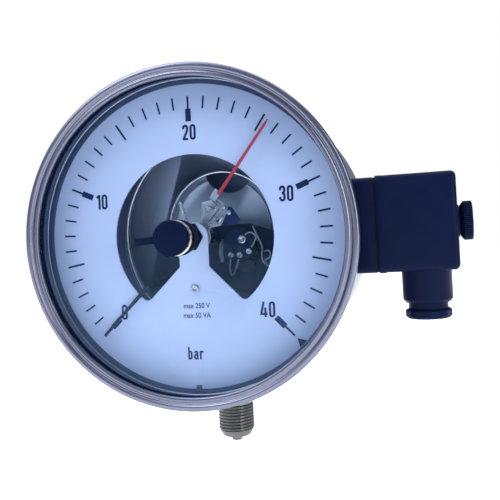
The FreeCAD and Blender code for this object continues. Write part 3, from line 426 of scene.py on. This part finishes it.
def extruded(bm, outline, y0, y1):
    """Prism between two Y planes from a simple (x, z) outline."""
    front = [bm.verts.new(at(x, y0, z)) for x, z in outline]
    back = [bm.verts.new(at(x, y1, z)) for x, z in outline]
    bm.faces.new(front)
    bm.faces.new(list(reversed(back)))
    for i in range(len(outline)):
        j = (i + 1) % len(outline)
        bm.faces.new((front[i], front[j], back[j], back[i]))
    return bm


def polar(radius, angle, centre=(0.0, 0.0)):
    a = math.radians(angle)
    return centre[0] + radius * math.cos(a), centre[1] + radius * math.sin(a)


def on_plug_line(bm):
    """Turn a bmesh drawn along X to the line that the plug sits on."""
    turn = Matrix.Rotation(math.radians(-PLUG_TILT), 3, "Y")
    bmesh.ops.rotate(bm, verts=bm.verts, cent=at(0, 0, 0), matrix=turn)
    return bm


def piece(name, bm, body, finish, replaces=(), sharp=32.0):
    """Turn a bmesh into a piece, which rides on a body when one is given."""
    bmesh.ops.remove_doubles(bm, verts=bm.verts, dist=1e-7)
    bmesh.ops.recalc_face_normals(bm, faces=bm.faces)
    mesh = bpy.data.meshes.new(name)
    bm.to_mesh(mesh)
    bm.free()
    mesh.shade_smooth()
    mesh.set_sharp_from_angle(angle=math.radians(sharp))
    mesh.materials.append(M[finish])
    made = bpy.data.objects.new(name, mesh)
    bpy.context.scene.collection.objects.link(made)
    if body:
        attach(made, body)
    if replaces:
        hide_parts(*replaces)
    return made


def drill(radius, start, end, axis, centre=(0.0, 0.0), segments=32):
    """Closed cylinder that carved() cuts a round hole with."""
    return turned([(0.0, start), (radius, start), (radius, end), (0.0, end)], axis, centre, segments)


def carved(made, cutters):
    """Cut closed bmeshes out of a piece."""
    holder = bpy.data.meshes.new("cutter")
    for bm in cutters:
        bmesh.ops.recalc_face_normals(bm, faces=bm.faces)
        bm.to_mesh(holder)
        bm.free()
        cutter = bpy.data.objects.new("cutter", holder)
        bpy.context.scene.collection.objects.link(cutter)
        step = made.modifiers.new("cut", "BOOLEAN")
        step.operation = "DIFFERENCE"
        step.solver = "EXACT"
        step.object = cutter
        graph = bpy.context.evaluated_depsgraph_get()
        mesh = bpy.data.meshes.new_from_object(made.evaluated_get(graph))
        made.modifiers.clear()
        made.data = mesh
        bpy.data.objects.remove(cutter)
    made.data.set_sharp_from_angle(angle=math.radians(32.0))


def body_of(node):
    return nodes[node]["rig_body"]


def machined(node, finish, width=0.15, keep_above=None, name=None):
    """A copy of a CAD node with its edges broken by a small round, standing for that node."""
    bm = bmesh.new()
    bm.from_mesh(nodes[node].data)
    bmesh.ops.remove_doubles(bm, verts=bm.verts, dist=2e-6)
    if keep_above is not None:
        cut = bmesh.ops.bisect_plane(bm, geom=bm.verts[:] + bm.edges[:] + bm.faces[:],
                                     plane_co=at(0, 0, keep_above), plane_no=(0, 0, -1),
                                     clear_outer=True)
        edges = [g for g in cut["geom_cut"] if isinstance(g, bmesh.types.BMEdge)]
        bmesh.ops.holes_fill(bm, edges=edges)
    bmesh.ops.dissolve_limit(bm, angle_limit=math.radians(0.6), verts=bm.verts, edges=bm.edges)
    edges = [e for e in bm.edges if e.is_manifold and e.calc_face_angle() > math.radians(30)]
    bmesh.ops.bevel(bm, geom=edges, offset=width * MM, offset_type="OFFSET", segments=2,
                    profile=0.5, affect="EDGES", clamp_overlap=True)
    return piece(name or node + "_part", bm, body_of(node), finish, (node,))


# --- case and window ----------------------------------------------------------------------
def ring_sector(bm, r0, r1, y0, y1, middle, half, steps=10):
    """Closed piece of a ring about the dial axis."""
    angles = [middle - half + 2 * half * i / steps for i in range(steps + 1)]
    outline = [polar(r1, a) for a in angles] + [polar(r0, a) for a in reversed(angles)]
    return extruded(bm, outline, y0, y1)


def bezel():
    """Rolled bayonet ring with three lugs that hook behind the case's flange."""
    seat = GLASS_FRONT - 1.0
    outline = [
        (BEZEL_LIP_R, -82.5), (77.6, -83.2), (79.0, -83.4), (79.8, -82.9), (80.6, -82.9), (81.2, -83.8),
        (82.0, BEZEL_FRONT), (83.3, -83.8), (BEZEL_R, -83.0), (BEZEL_R, -80.6), (83.2, -79.0),
        (83.2, BEZEL_BACK), (81.3, BEZEL_BACK), (81.3, seat), (BEZEL_LIP_R, seat),
    ]
    bm = turned(rounded(outline, 0.6, 5), segments=288)
    for middle in (90.0, 210.0, 330.0):
        ring_sector(bm, CASE_R + 0.15, 82.0, CASE_FRONT + 3.7, CASE_FRONT + 5.6, middle, 9.0)
    piece("bezel_ring_turned", bm, "bezel", "bezel", ("bezel_ring",))


def case():
    """Spun case with its flange, the bead beside the dial, and the holes for stem, plugs and leads."""
    flange_r, flange_back = CASE_R + 1.2, CASE_FRONT + 3.6
    inner_r, inner_back = CASE_R - CASE_WALL, CASE_BACK - CASE_WALL
    front = [(inner_r, CASE_FRONT), (flange_r, CASE_FRONT), (flange_r, flange_back), (CASE_R, flange_back),
             (CASE_R, CASE_BACK - 5.0)]
    shoulder = [(CASE_R, CASE_BACK - 5.0), (CASE_R, CASE_BACK), (CASE_R - 5.0, CASE_BACK)]
    bead = DIAL_FRONT - 2.2
    profile = [(0.0, inner_back), (60.0, inner_back), (CASE_R - 5.4, inner_back),
               (inner_r, CASE_BACK - 5.4), (inner_r, bead + 0.25), (inner_r - 0.3, bead + 0.1),
               (inner_r - 0.3, bead - 0.1), (inner_r, bead - 0.25)]
    profile += rounded(front, 0.3, 2, closed=False)
    profile += rounded(shoulder, 4.6, 8, closed=False)[1:]
    profile += [(62.0, CASE_BACK), (61.0, CASE_BACK - 0.5), (48.0, CASE_BACK - 0.5), (47.0, CASE_BACK),
                (0.0, CASE_BACK)]
    shell = piece("case_shell_spun", turned(profile, segments=240), "case", "case", ("case_shell",))
    stem_hole = drill(11.2, -90.0, -72.0, "z", segments=64)
    relief_hole = drill(22.0, 12.0, 20.0, "y", segments=96)
    screw_holes = [drill(2.6, 12.0, 20.0, "y", (x, -68.0)) for x in (-9.0, 9.0)]
    lead_hole = on_plug_line(drill(6.0, 72.0, 90.0, "x", PLUG_CENTRE, 48))
    carved(shell, [stem_hole, relief_hole, *screw_holes, lead_hole])
    # Painted shade: faces inside the case take the darker steel. The faces of the inner bead take a lighter
    # steel, a painted highlight.
    shell.data.materials.append(M["inside"])
    shell.data.materials.append(M["rim"])
    for face in shell.data.polygons:
        place = (face.center - at(0, 0, 0)) / MM
        radius = math.hypot(place.x, place.z)
        if radius < inner_r + 0.2 and place.y < inner_back + 0.2:
            face.material_index = 2 if abs(place.y - bead) < 0.3 else 1


def window():
    """Flat glass and the rubber channel round its rim."""
    hole_r = 5.5
    glass = [(hole_r, GLASS_FRONT), (GLASS_R, GLASS_FRONT), (GLASS_R, GLASS_BACK), (hole_r, GLASS_BACK)]
    pane = turned(rounded(glass, 0.35, 3), segments=256)
    piece("window_pane", pane, "case", "glass", ("window_glass",))
    low_r, high_r = 78.0, 80.1
    channel = [
        (low_r, GLASS_FRONT - 1.0), (high_r, GLASS_FRONT - 1.0), (high_r, CASE_FRONT), (low_r, CASE_FRONT),
        (low_r, GLASS_BACK), (GLASS_R, GLASS_BACK), (GLASS_R, GLASS_FRONT), (low_r, GLASS_FRONT),
    ]
    piece("window_gasket_ring", turned(rounded(channel, 0.25, 3), segments=256), "case", "rubber",
          ("window_gasket",))


# --- dial ---------------------------------------------------------------------------------
INK = 0.05                  # the print stands this far in front of the dial
SCALE_R = 70.2
ONES, FIVES, TENS = 6.25, 9.4, 6.4      # lengths of the lines
BLOCK_START, BLOCK_END, BLOCK_WIDTH = 6.3, 12.6, 2.9


def bar_mark(bm, angle, r0, r1, width):
    """One radial line of the scale."""
    a = math.radians(angle)
    along, across = Vector((math.cos(a), math.sin(a))), Vector((-math.sin(a), math.cos(a))) * width / 2
    corners = [along * r0 - across, along * r1 - across, along * r1 + across, along * r0 + across]
    extruded(bm, [tuple(c) for c in corners], DIAL_FRONT - INK, DIAL_FRONT)


def tick_angle(value):
    return ZERO_ANGLE - SCALE_SWEEP * value / FULL_SCALE


def scale_marks():
    """A line for each bar, longer at the fives, with a block at the tens, and the end's marker."""
    bm = bmesh.new()
    for value in range(FULL_SCALE + 1):
        angle = tick_angle(value)
        if value % 10 == 0:
            bar_mark(bm, angle, SCALE_R - TENS, SCALE_R, 1.0)
            bar_mark(bm, angle, SCALE_R - BLOCK_END, SCALE_R - BLOCK_START, BLOCK_WIDTH)
        elif value % 5 == 0:
            bar_mark(bm, angle, SCALE_R - FIVES, SCALE_R, 1.0)
        else:
            bar_mark(bm, angle, SCALE_R - ONES, SCALE_R, 0.9)
    piece("dial_scale_marks", bm, "case", "ink")
    bm = bmesh.new()
    tip, base = polar(71.9, -45.0), polar(76.0, -45.0)
    side = Vector(polar(2.4, 45.0))
    corners = [tip, tuple(Vector(base) - side), tuple(Vector(base) + side)]
    extruded(bm, corners, DIAL_FRONT - INK, DIAL_FRONT)
    piece("dial_limit_marker", bm, "case", "ink")


def printed_line(bm, path, width, closed=False):
    """Line of constant width along (x, z) points, standing on the dial."""
    points = [Vector(p) for p in path]
    count = len(points)
    stations = []
    for i, point in enumerate(points):
        before = points[i - 1] if closed or i > 0 else None
        after = points[(i + 1) % count] if closed or i < count - 1 else None
        arriving = (point - before).normalized() if before is not None else (after - point).normalized()
        leaving = (after - point).normalized() if after is not None else arriving
        heading = (arriving + leaving).normalized()
        reach = width / 2 / max(0.6, heading.dot(arriving))
        side = Vector((-heading.y, heading.x)) * reach
        corners = ((point + side, DIAL_FRONT - INK), (point - side, DIAL_FRONT - INK),
                   (point - side, DIAL_FRONT), (point + side, DIAL_FRONT))
        stations.append([bm.verts.new(at(q.x, y, q.y)) for q, y in corners])
    pairs = list(zip(stations, stations[1:]))
    if closed:
        pairs.append((stations[-1], stations[0]))
    else:
        bm.faces.new(stations[0])
        bm.faces.new(list(reversed(stations[-1])))
    for one, two in pairs:
        for k in range(4):
            j = (k + 1) % 4
            bm.faces.new((one[k], two[k], two[j], one[j]))


def bow(z, start, end, radius=1.03, steps=8):
    """Points of an arc about (0, z)."""
    return [polar(radius, start + (end - start) * i / steps, (0.0, z)) for i in range(steps + 1)]


# centre lines of a narrow lettering: left and right extent, then (points, closed) for each stroke
GLYPHS = {
    "0": (-1.5, 1.5, [(bow(2.3, 0, 180) + bow(-2.3, 180, 360), True)]),
    "1": (-1.2, 0.9, [([(-0.95, 2.1), (0.15, 3.25)], False), ([(0.42, 3.8), (0.42, -3.8)], False)]),
    "2": (-1.5, 1.5, [([(-1.03, 1.6)] + bow(2.3, 180, 0) + [(1.03, 1.4), (0.7, 0.2), (-0.85, -2.95)], False),
                      ([(-1.4, -3.35), (1.35, -3.35)], False)]),
    "3": (-1.5, 1.5, [([(-1.03, 1.6)] + bow(2.3, 180, 0) + [(1.03, 1.2), (0.7, 0.45), (-0.2, 0.2)], False),
                      ([(-0.1, 0.25), (0.7, -0.05), (1.03, -0.8)] + bow(-2.3, 0, -180) + [(-1.03, -1.6)],
                       False)]),
    "4": (-1.7, 1.9, [([(0.15, 3.8), (-1.2, -2.15), (1.9, -2.15)], False),
                      ([(0.9, 0.9), (0.9, -3.8)], False)]),
    "b": (-0.4, 1.8, [([(0.0, 3.2), (0.0, -3.2)], False),
                      ([(0.0, 0.72), (0.95, 0.72), (1.42, 0.25), (1.42, -2.35), (0.95, -2.82), (0.0, -2.82)],
                       False)]),
    "a": (-0.4, 1.8, [([(-0.02, 0.0), (0.4, 0.72), (1.0, 0.72), (1.42, 0.25), (1.42, -3.2)], False),
                      ([(1.42, -0.75), (0.5, -0.85), (0.0, -1.35), (0.0, -2.3), (0.5, -2.82), (1.42, -2.6)],
                       False)]),
    "r": (-0.4, 1.6, [([(0.0, 1.1), (0.0, -3.2)], False), ([(0.0, -0.2), (0.5, 0.72), (1.6, 0.72)], False)]),
}


def printed_text(name, text, x, z, width, gap=0.85):
    """Numbers or letters drawn from the glyphs' centre lines, centred at a place on the dial."""
    bm = bmesh.new()
    length = sum(GLYPHS[c][1] - GLYPHS[c][0] for c in text) + gap * (len(text) - 1)
    start = x - length / 2
    for symbol in text:
        left, right, strokes = GLYPHS[symbol]
        for path, closed in strokes:
            printed_line(bm, [(start - left + u, z + v) for u, v in path], width, closed)
        start += right - left + gap
    piece(name, bm, "case", "ink")


def small_print(name, text, x, z, height):
    """Neutral small text, centred at a place on the dial."""
    curve = bpy.data.curves.new(name, "FONT")
    curve.body = text
    curve.align_x, curve.align_y = "CENTER", "CENTER"
    curve.size = height * MM / 0.7
    curve.extrude = INK * MM / 2
    curve.offset = 0.05 * MM
    source = bpy.data.objects.new(name, curve)
    bpy.context.scene.collection.objects.link(source)
    source.matrix_world = (Matrix.Translation(at(x, DIAL_FRONT - INK / 2, z))
                           @ Matrix.Rotation(math.radians(90.0), 4, "X")
                           @ Matrix.Diagonal((0.85, 1.0, 1.0, 1.0)))
    bpy.context.view_layer.update()
    graph = bpy.context.evaluated_depsgraph_get()
    mesh = bpy.data.meshes.new_from_object(source.evaluated_get(graph))
    mesh.transform(source.matrix_world)
    bpy.data.objects.remove(source)
    bm = bmesh.new()
    bm.from_mesh(mesh)
    piece(name, bm, "case", "ink")


NUMBER_PLACES = {"0": (-38.3, -37.3), "10": (-48.4, 19.6), "20": (0.1, 52.2), "30": (48.1, 19.3),
                 "40": (36.6, -36.8)}
NUMBER_STROKE, UNIT_STROKE = 1.15, 0.9


def dial_print():
    scale_marks()
    for number, (x, z) in NUMBER_PLACES.items():
        printed_text("dial_number_" + number, number, x, z, NUMBER_STROKE)
    printed_text("dial_unit", "bar", -1.0, -58.2, UNIT_STROKE)
    small_print("dial_rating_voltage", "max 250 V", 0.4, -34.6, 2.6)
    small_print("dial_rating_power", "max 50 VA", 0.4, -39.4, 2.6)


# --- partition ----------------------------------------------------------------------------
def baffle():
    """Partition behind the switch; the crests of its round bead and of its inner rim, its frontmost faces,
    take a near-white steel: a painted highlight.
    """
    wall = machined("baffle_wall", "baffle", 0.2)
    # Painted highlight: the faces within a small distance of the wall's front take the near-white steel.
    wall.data.materials.append(M["bead"])
    crest = low("baffle_wall").y + 0.35
    for face in wall.data.polygons:
        place = (face.center - at(0, 0, 0)) / MM
        if place.y < crest:
            face.material_index = 1


# --- stem ---------------------------------------------------------------------------------
def thread_shape(angle, radius, height):
    """Whitworth-form ridges that wind round the stem and fade out at both ends."""
    start, end = STEM_END + 0.9, STEM_END + 19.2
    turn = (height - STEM_END) / THREAD_PITCH - angle / TAU
    wave = abs(2.0 * (turn - math.floor(turn)) - 1.0)
    ridge = min(1.0, max(0.0, (wave - 0.14) / 0.72))
    ridge = ridge * ridge * (3.0 - 2.0 * ridge) * 0.35 + ridge * 0.65
    fade = min(1.0, max(0.0, (end - height) / 1.2)) * min(1.0, max(0.0, (height - start) / 0.6 + 0.5))
    return min(radius, THREAD_R - THREAD_DEPTH * (1.0 - ridge * fade))


def stem():
    """Threaded end with its centring pin, the square with rounded corners, and the socket block."""
    low_end = STEM_END
    taper = 4.6
    profile = [(0.0, low_end + 12.0), (1.45, low_end + 12.0), (1.45, low_end - 2.7), (1.7, low_end - 3.0),
               (2.6, low_end - 3.0), (3.0, low_end - 2.6), (3.0, low_end - 0.3), (3.3, low_end),
               (7.6, low_end)]
    count = 200
    for i in range(count + 1):
        rise = 0.02 + 19.9 * i / count
        cone = 8.2 + rise * (THREAD_R - 8.2) / taper
        profile.append((min(THREAD_R, cone, 7.8 + rise * 1.2), low_end + rise))
    profile += [(8.9, low_end + 20.0), (8.9, low_end + 22.5), (0.0, low_end + 22.5)]

    def shape(angle, radius, height):
        if height < low_end + 0.01 or height > low_end + 19.95:
            return radius
        return thread_shape(angle, radius, height)

    piece("process_stem_thread", turned(profile, "z", segments=160, shape=shape), "case", "stem",
          sharp=60.0)
    half, corner_r = SPANNER_HALF, 1.5
    z0, z1 = low_end + 22.0, -82.6

    def square(angle, radius, height):
        c, s = abs(math.cos(angle)), abs(math.sin(angle))
        flat = half / max(c, s)
        inner = half - corner_r
        along = inner * (c + s)
        reach = along * along - (2 * inner * inner - corner_r * corner_r)
        rounded_corner = along + math.sqrt(reach) if reach > 0 else flat
        side = flat if min(c, s) * flat <= inner else rounded_corner
        return min(radius, side)

    profile = [(0.0, z0), (10.4, z0), (10.8, z0 + 0.1), (14.6, z0 + 2.1)]
    profile += [(15.6, z0 + 2.2 + (z1 - z0 - 4.4) * i / 6) for i in range(7)]
    profile += [(14.6, z1 - 2.1), (11.6, z1 - 0.3), (11.4, z1), (0.0, z1)]
    piece("process_stem_square", turned(profile, "z", segments=192, shape=square), "case", "stem",
          sharp=25.0)
    machined("process_stem", "stem", 0.2, keep_above=z1 - 0.05, name="process_stem_block")


# --- pointers -----------------------------------------------------------------------------
def set_blade():
    """Red blade of the set pointer: narrow, lightly tapered, with broken edges."""
    along = Vector(polar(1.0, SET_ANGLE))
    across = Vector((-along.y, along.x))
    front, back = low("set_blade").y, high("set_blade").y
    sides = [(25.2, 0.85), (66.0, 0.62), (69.1, 0.12)]
    bm = bmesh.new()
    rings = []
    for y, inset in ((back, 0.0), (front + 0.12, 0.0), (front, 0.12)):
        points = [along * (r - inset) + across * max(0.03, h - inset) for r, h in sides]
        points += [along * (r - inset) - across * max(0.03, h - inset) for r, h in reversed(sides)]
        rings.append([bm.verts.new(at(q.x, y, q.y)) for q in points])
    for one, two in zip(rings, rings[1:]):
        for i in range(len(one)):
            j = (i + 1) % len(one)
            bm.faces.new((one[i], one[j], two[j], two[i]))
    bm.faces.new(rings[0])
    bm.faces.new(list(reversed(rings[-1])))
    piece("set_blade_red", bm, body_of("set_blade"), "red", ("set_blade",))


# --- adjusting lock -----------------------------------------------------------------------
def lock():
    """Bush through the glass with its hexagon, and the key, sleeve, spindle and spring in it."""
    across_flats = 13.6
    profile = [
        (2.56, -82.6), (6.55, -82.6), (6.55, -89.5), (8.5, -89.5), (8.5, -88.2), (7.2, -88.15),
        (7.9, -87.7), (7.9, -82.9), (7.3, -82.42), (7.2, -82.4), (7.2, -81.7), (5.4, -81.7), (5.4, -74.9),
        (2.56, -74.9),
    ]

    def hexagon(angle, radius, height):
        if radius < 7.0 or not -88.18 < height < -82.41:
            return radius
        step = TAU / 6
        return min(radius, across_flats / 2 / math.cos(angle % step - step / 2))

    bm = turned(rounded(profile, 0.18, 3), segments=144, shape=hexagon)
    piece("lock_bush_turned", bm, "case", "black", ("lock_bush",))
    machined("lock_key", "knob", 0.35)
    sleeve = machined("lock_sleeve", "cap", 0.12)
    sleeve.data.materials.append(M["black"])
    barrel_start = at(0, -94.9, 0).y
    for face in sleeve.data.polygons:
        face.material_index = int(face.center.y > barrel_start)
    machined("lock_spindle", "screw", 0.12)
    coil_spring()


def coil_spring():
    """Round-wire spring with closed ends, between sleeve and bush."""
    box_low, box_high = low("lock_spring"), high("lock_spring")
    wire_r = 0.45
    coil_r = box_high.x - wire_r
    y0, y1 = box_low.y + wire_r, box_high.y - wire_r
    turns, per_turn, sides = 6.0, 40, 10
    bm = bmesh.new()
    rings = []
    count = int(turns * per_turn)
    for i in range(count + 1):
        t = i / count
        a = TAU * turns * t
        eased = t - 0.045 * math.sin(TAU * t)
        middle = Vector((coil_r * math.cos(a), y0 + (y1 - y0) * eased, coil_r * math.sin(a)))
        outward = Vector((math.cos(a), 0.0, math.sin(a)))
        ring = []
        for k in range(sides):
            b = TAU * k / sides
            p = middle + (outward * math.cos(b) + Vector((0.0, 1.0, 0.0)) * math.sin(b)) * wire_r
            ring.append(bm.verts.new(at(*p)))
        rings.append(ring)
    for one, two in zip(rings, rings[1:]):
        for k in range(sides):
            j = (k + 1) % sides
            bm.faces.new((one[k], one[j], two[j], two[k]))
    bm.faces.new(rings[0])
    bm.faces.new(list(reversed(rings[-1])))
    made = piece("lock_spring_coil", bm, "case", "spring", ("lock_spring",))
    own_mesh(made)


# --- measuring tube -----------------------------------------------------------------------
def bourdon():
    """Flattened tube bent to a C."""
    outer, inner = 54.0, 50.0
    half = 6.0
    section = rounded([(inner, -half), (outer, -half), (outer, half), (inner, half)], 1.7, 5)
    bm = bmesh.new()
    rings = []
    steps = 120
    first, last = 254.0, -15.0
    for i in range(steps + 1):
        angle = first + (last - first) * i / steps
        ring = []
        for r, y in section:
            x, z = polar(r, angle)
            ring.append(bm.verts.new(at(x, y, z)))
        rings.append(ring)
    sides = len(section)
    for one, two in zip(rings, rings[1:]):
        for k in range(sides):
            j = (k + 1) % sides
            bm.faces.new((one[k], one[j], two[j], two[k]))
    bm.faces.new(rings[0])
    bm.faces.new(list(reversed(rings[-1])))
    made = piece("bourdon_tube_bent", bm, None, "tube", ("bourdon_tube",))
    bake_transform(made)


# --- plug connector -----------------------------------------------------------------------
def knurled_screw():
    """Captive screw with a straight-knurled head."""
    flutes = 60
    head_r = 9.6
    x0, x1 = 129.5, 135.5
    profile = [(0.0, 83.0), (1.6, 83.0), (2.0, 83.5), (2.0, 129.2), (5.0, 129.2), (5.0, x0),
               (head_r - 2.2, x0), (head_r, x0 + 1.8)]
    profile += [(head_r, x0 + 1.8 + (x1 - x0 - 2.3) * i / 4) for i in range(1, 5)]
    profile += [(head_r - 0.6, x1), (6.4, x1), (6.0, x1 - 0.5), (0.0, x1 - 0.5)]

    def shape(angle, radius, height):
        if radius < 7.0:
            return radius
        wave = abs(2.0 * ((angle * flutes / TAU) % 1.0) - 1.0)
        return min(radius, head_r - 0.45 * (1.0 - min(1.0, wave * 1.6)))

    bm = on_plug_line(turned(profile, "x", PLUG_CENTRE, flutes * 8, shape))
    piece("thumb_screw_knurled", bm, "plug_screw", "plug", ("thumb_screw",), sharp=50.0)


def gland_nut():
    """Gland nut with eight grip flats and a rolled lower edge."""
    lowest, highest = -47.2, -42.6
    profile = rounded([
        (9.76, lowest + 1.4), (9.76, highest), (10.6, highest), (11.4, highest - 0.7), (11.4, highest - 1.0),
        (11.4, lowest + 1.9), (11.35, lowest + 1.2), (10.3, lowest), (6.2, lowest), (6.2, lowest + 1.4),
    ], 0.3, 3)

    def shape(angle, radius, height):
        if radius < 10.5 or not lowest + 1.0 < height < highest - 0.8:
            return radius
        step = TAU / 8
        return min(radius, 10.9 / math.cos(angle % step - step / 2))

    bm = on_plug_line(turned(profile, "z", (GLAND_X, PLUG_CENTRE[0]), 160, shape))
    piece("gland_nut_moulded", bm, "gland", "plug", ("gland_nut",))


def connector():
    """Plug and saddle with broken edges, and the pieces that are turned on the plug's line."""
    machined("connector_housing", "plug", 0.5)
    machined("connector_base", "plug", 0.5)
    knurled_screw()
    gland_nut()


# --- carried-over nodes -------------------------------------------------------------------
BROKEN_EDGES = {
    "dial": ("dial", 0.1), "dial_screw": ("screw", 0.12), "set_plate": ("sheet", 0.12),
    "plate_screw": ("screw", 0.1), "set_arm": ("sheet", 0.08),
    "drive_pin": ("screw", 0.1), "magnet_block": ("dark", 0.2), "fixed_contact": ("contact", 0.1),
    "contact_arm": ("contact", 0.08), "insulating_plate": ("dark", 0.25),
    "terminal_block": ("dark", 0.3), "terminal_screws": ("screw", 0.12), "set_hub": ("screw", 0.15),
    "hub_clip": ("spring", 0.08), "pointer_blade": ("black", 0.06), "pointer_hub": ("black", 0.12),
    "contact_bridge": ("sheet", 0.12), "movement_front_plate": ("front_plate", 0.15),
    # Painted shade: the dial carrier takes the darker inner-wall steel.
    "dial_carrier": ("inside", 0.15),
    "base_nut": ("brass", 0.15), "stem_screws": ("screw", 0.2),
    "rear_blowout_plug": ("rubber", 0.3), "lock_nut": ("black", 0.2),
}
PLAIN_NODES = {
    "zero_stop": "front_plate", "stem_seal": "rubber", "tube_end_piece": "stem",
    "drive_link": "spring", "pointer_shaft": "spring",
    "sector_gear": "brass", "movement_rear_plate": "brass", "movement_pillars": "brass",
    "movement_screws": "screw", "hairspring": "spring", "hairspring_collet": "brass",
    "bridge_screws": "screw", "lead_wires": "wire", "cable_grommet": "rubber", "lock_seal": "rubber",
    "base_screws": "screw", "connector_pins": "contact", "connector_gasket": "rubber",
    "terminal_insert": "dark", "gland_seal": "rubber",
}


def carried_over():
    """Every CAD node that keeps its shape gets its finish, and most get broken edges."""
    for node, (finish, width) in BROKEN_EDGES.items():
        machined(node, finish, width)
    for node, finish in PLAIN_NODES.items():
        for slot in nodes[node].material_slots:
            slot.material = M[finish]


# --- studio -------------------------------------------------------------------------------
def camera():
    """The view of the gauge from its front right, slightly above the middle of the dial."""
    data = bpy.data.cameras.new("camera")
    data.sensor_width = 36.0
    data.lens = 52.52
    data.shift_y = -0.0303
    data.clip_start = 0.01
    view = bpy.data.objects.new("camera", data)
    bpy.context.scene.collection.objects.link(view)
    yaw, pitch, roll = 0.23852, -0.00948, 0.04052
    axes = (Matrix.Rotation(yaw, 3, "Z") @ Matrix.Rotation(pitch, 3, "X") @ Matrix.Rotation(roll, 3, "Y"))
    right, forward, up = axes.col[0], axes.col[1], axes.col[2]
    turn = Matrix((right, up, -forward)).transposed()
    view.matrix_world = Matrix.Translation(at(113.7, -415.5, 3.27)) @ turn.to_4x4()
    bpy.context.scene.camera = view


def area_light(name, place, aim, size, power, colour=(1.0, 1.0, 1.0)):
    data = bpy.data.lights.new(name, "AREA")
    data.shape = "RECTANGLE"
    data.size, data.size_y = size
    data.energy = power
    data.color = colour
    lamp = bpy.data.objects.new(name, data)
    bpy.context.scene.collection.objects.link(lamp)
    lamp.location = place
    lamp.rotation_mode = "QUATERNION"
    lamp.rotation_quaternion = (Vector(aim) - Vector(place)).to_track_quat("-Z", "Y")


def floor():
    """Plain pale floor just under the gauge."""
    floor_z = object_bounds()[0].z - 0.0004
    reach = 3.0
    bm = bmesh.new()
    corners = [(-reach, -reach), (reach, -reach), (reach, reach), (-reach, reach)]
    bm.faces.new([bm.verts.new((x, y, floor_z)) for x, y in corners])
    mesh = bpy.data.meshes.new("floor")
    bm.to_mesh(mesh)
    bm.free()
    made = bpy.data.objects.new("floor", mesh)
    bpy.context.scene.collection.objects.link(made)
    paint = Finish("pale_floor", (0.9, 0.9, 0.9), roughness=0.8, specular_ior_level=0.1,
                   emission_color=(1.0, 1.0, 1.0, 1.0), emission_strength=0.8)
    cloud = paint.noise(paint.stretched(0.004, 0.004, 0.004), detail=2.0)
    paint.vary_colour(cloud, 0.985, 1.01)
    mesh.materials.append(paint.material)
    made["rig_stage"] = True


def room():
    """White backdrop; what the metal mirrors is a cool room, brighter to the left."""
    world = bpy.data.worlds.new("studio")
    world.use_nodes = True
    bpy.context.scene.world = world
    tree = world.node_tree
    direction = tree.nodes.new("ShaderNodeTexCoord")
    parts = tree.nodes.new("ShaderNodeSeparateXYZ")
    across = tree.nodes.new("ShaderNodeMapRange")
    across.inputs["From Min"].default_value = -1.0
    mirrored = tree.nodes.new("ShaderNodeMix")
    mirrored.data_type = "RGBA"
    mirrored.inputs[6].default_value = (0.46, 0.53, 0.68, 1.0)
    mirrored.inputs[7].default_value = (0.12, 0.15, 0.22, 1.0)
    path = tree.nodes.new("ShaderNodeLightPath")
    seen = tree.nodes.new("ShaderNodeMix")
    seen.data_type = "RGBA"
    seen.inputs[7].default_value = (1.0, 1.0, 1.0, 1.0)
    for source, target in (
        (direction.outputs["Generated"], parts.inputs[0]), (parts.outputs["X"], across.inputs["Value"]),
        (across.outputs["Result"], mirrored.inputs[0]), (path.outputs["Is Camera Ray"], seen.inputs[0]),
        (mirrored.outputs[2], seen.inputs[6]), (seen.outputs[2], tree.nodes["Background"].inputs["Color"]),
    ):
        tree.links.new(source, target)


def studio():
    bpy.context.scene.view_settings.view_transform = "Standard"
    floor()
    room()
    area_light("key", (-0.8, -0.7, 1.25), (0.0, 0.0, 0.12), (1.1, 1.1), 18.5)
    area_light("fill", (1.0, -0.7, 0.5), (0.0, 0.0, 0.12), (0.6, 0.9), 7.0)
    area_light("top", (0.0, 0.2, 1.1), (0.0, 0.0, 0.1), (1.2, 1.2), 8.0)


def build():
    bezel()
    case()
    window()
    dial_print()
    baffle()
    stem()
    set_blade()
    lock()
    bourdon()
    connector()
    carried_over()
    camera()
    studio()


build()
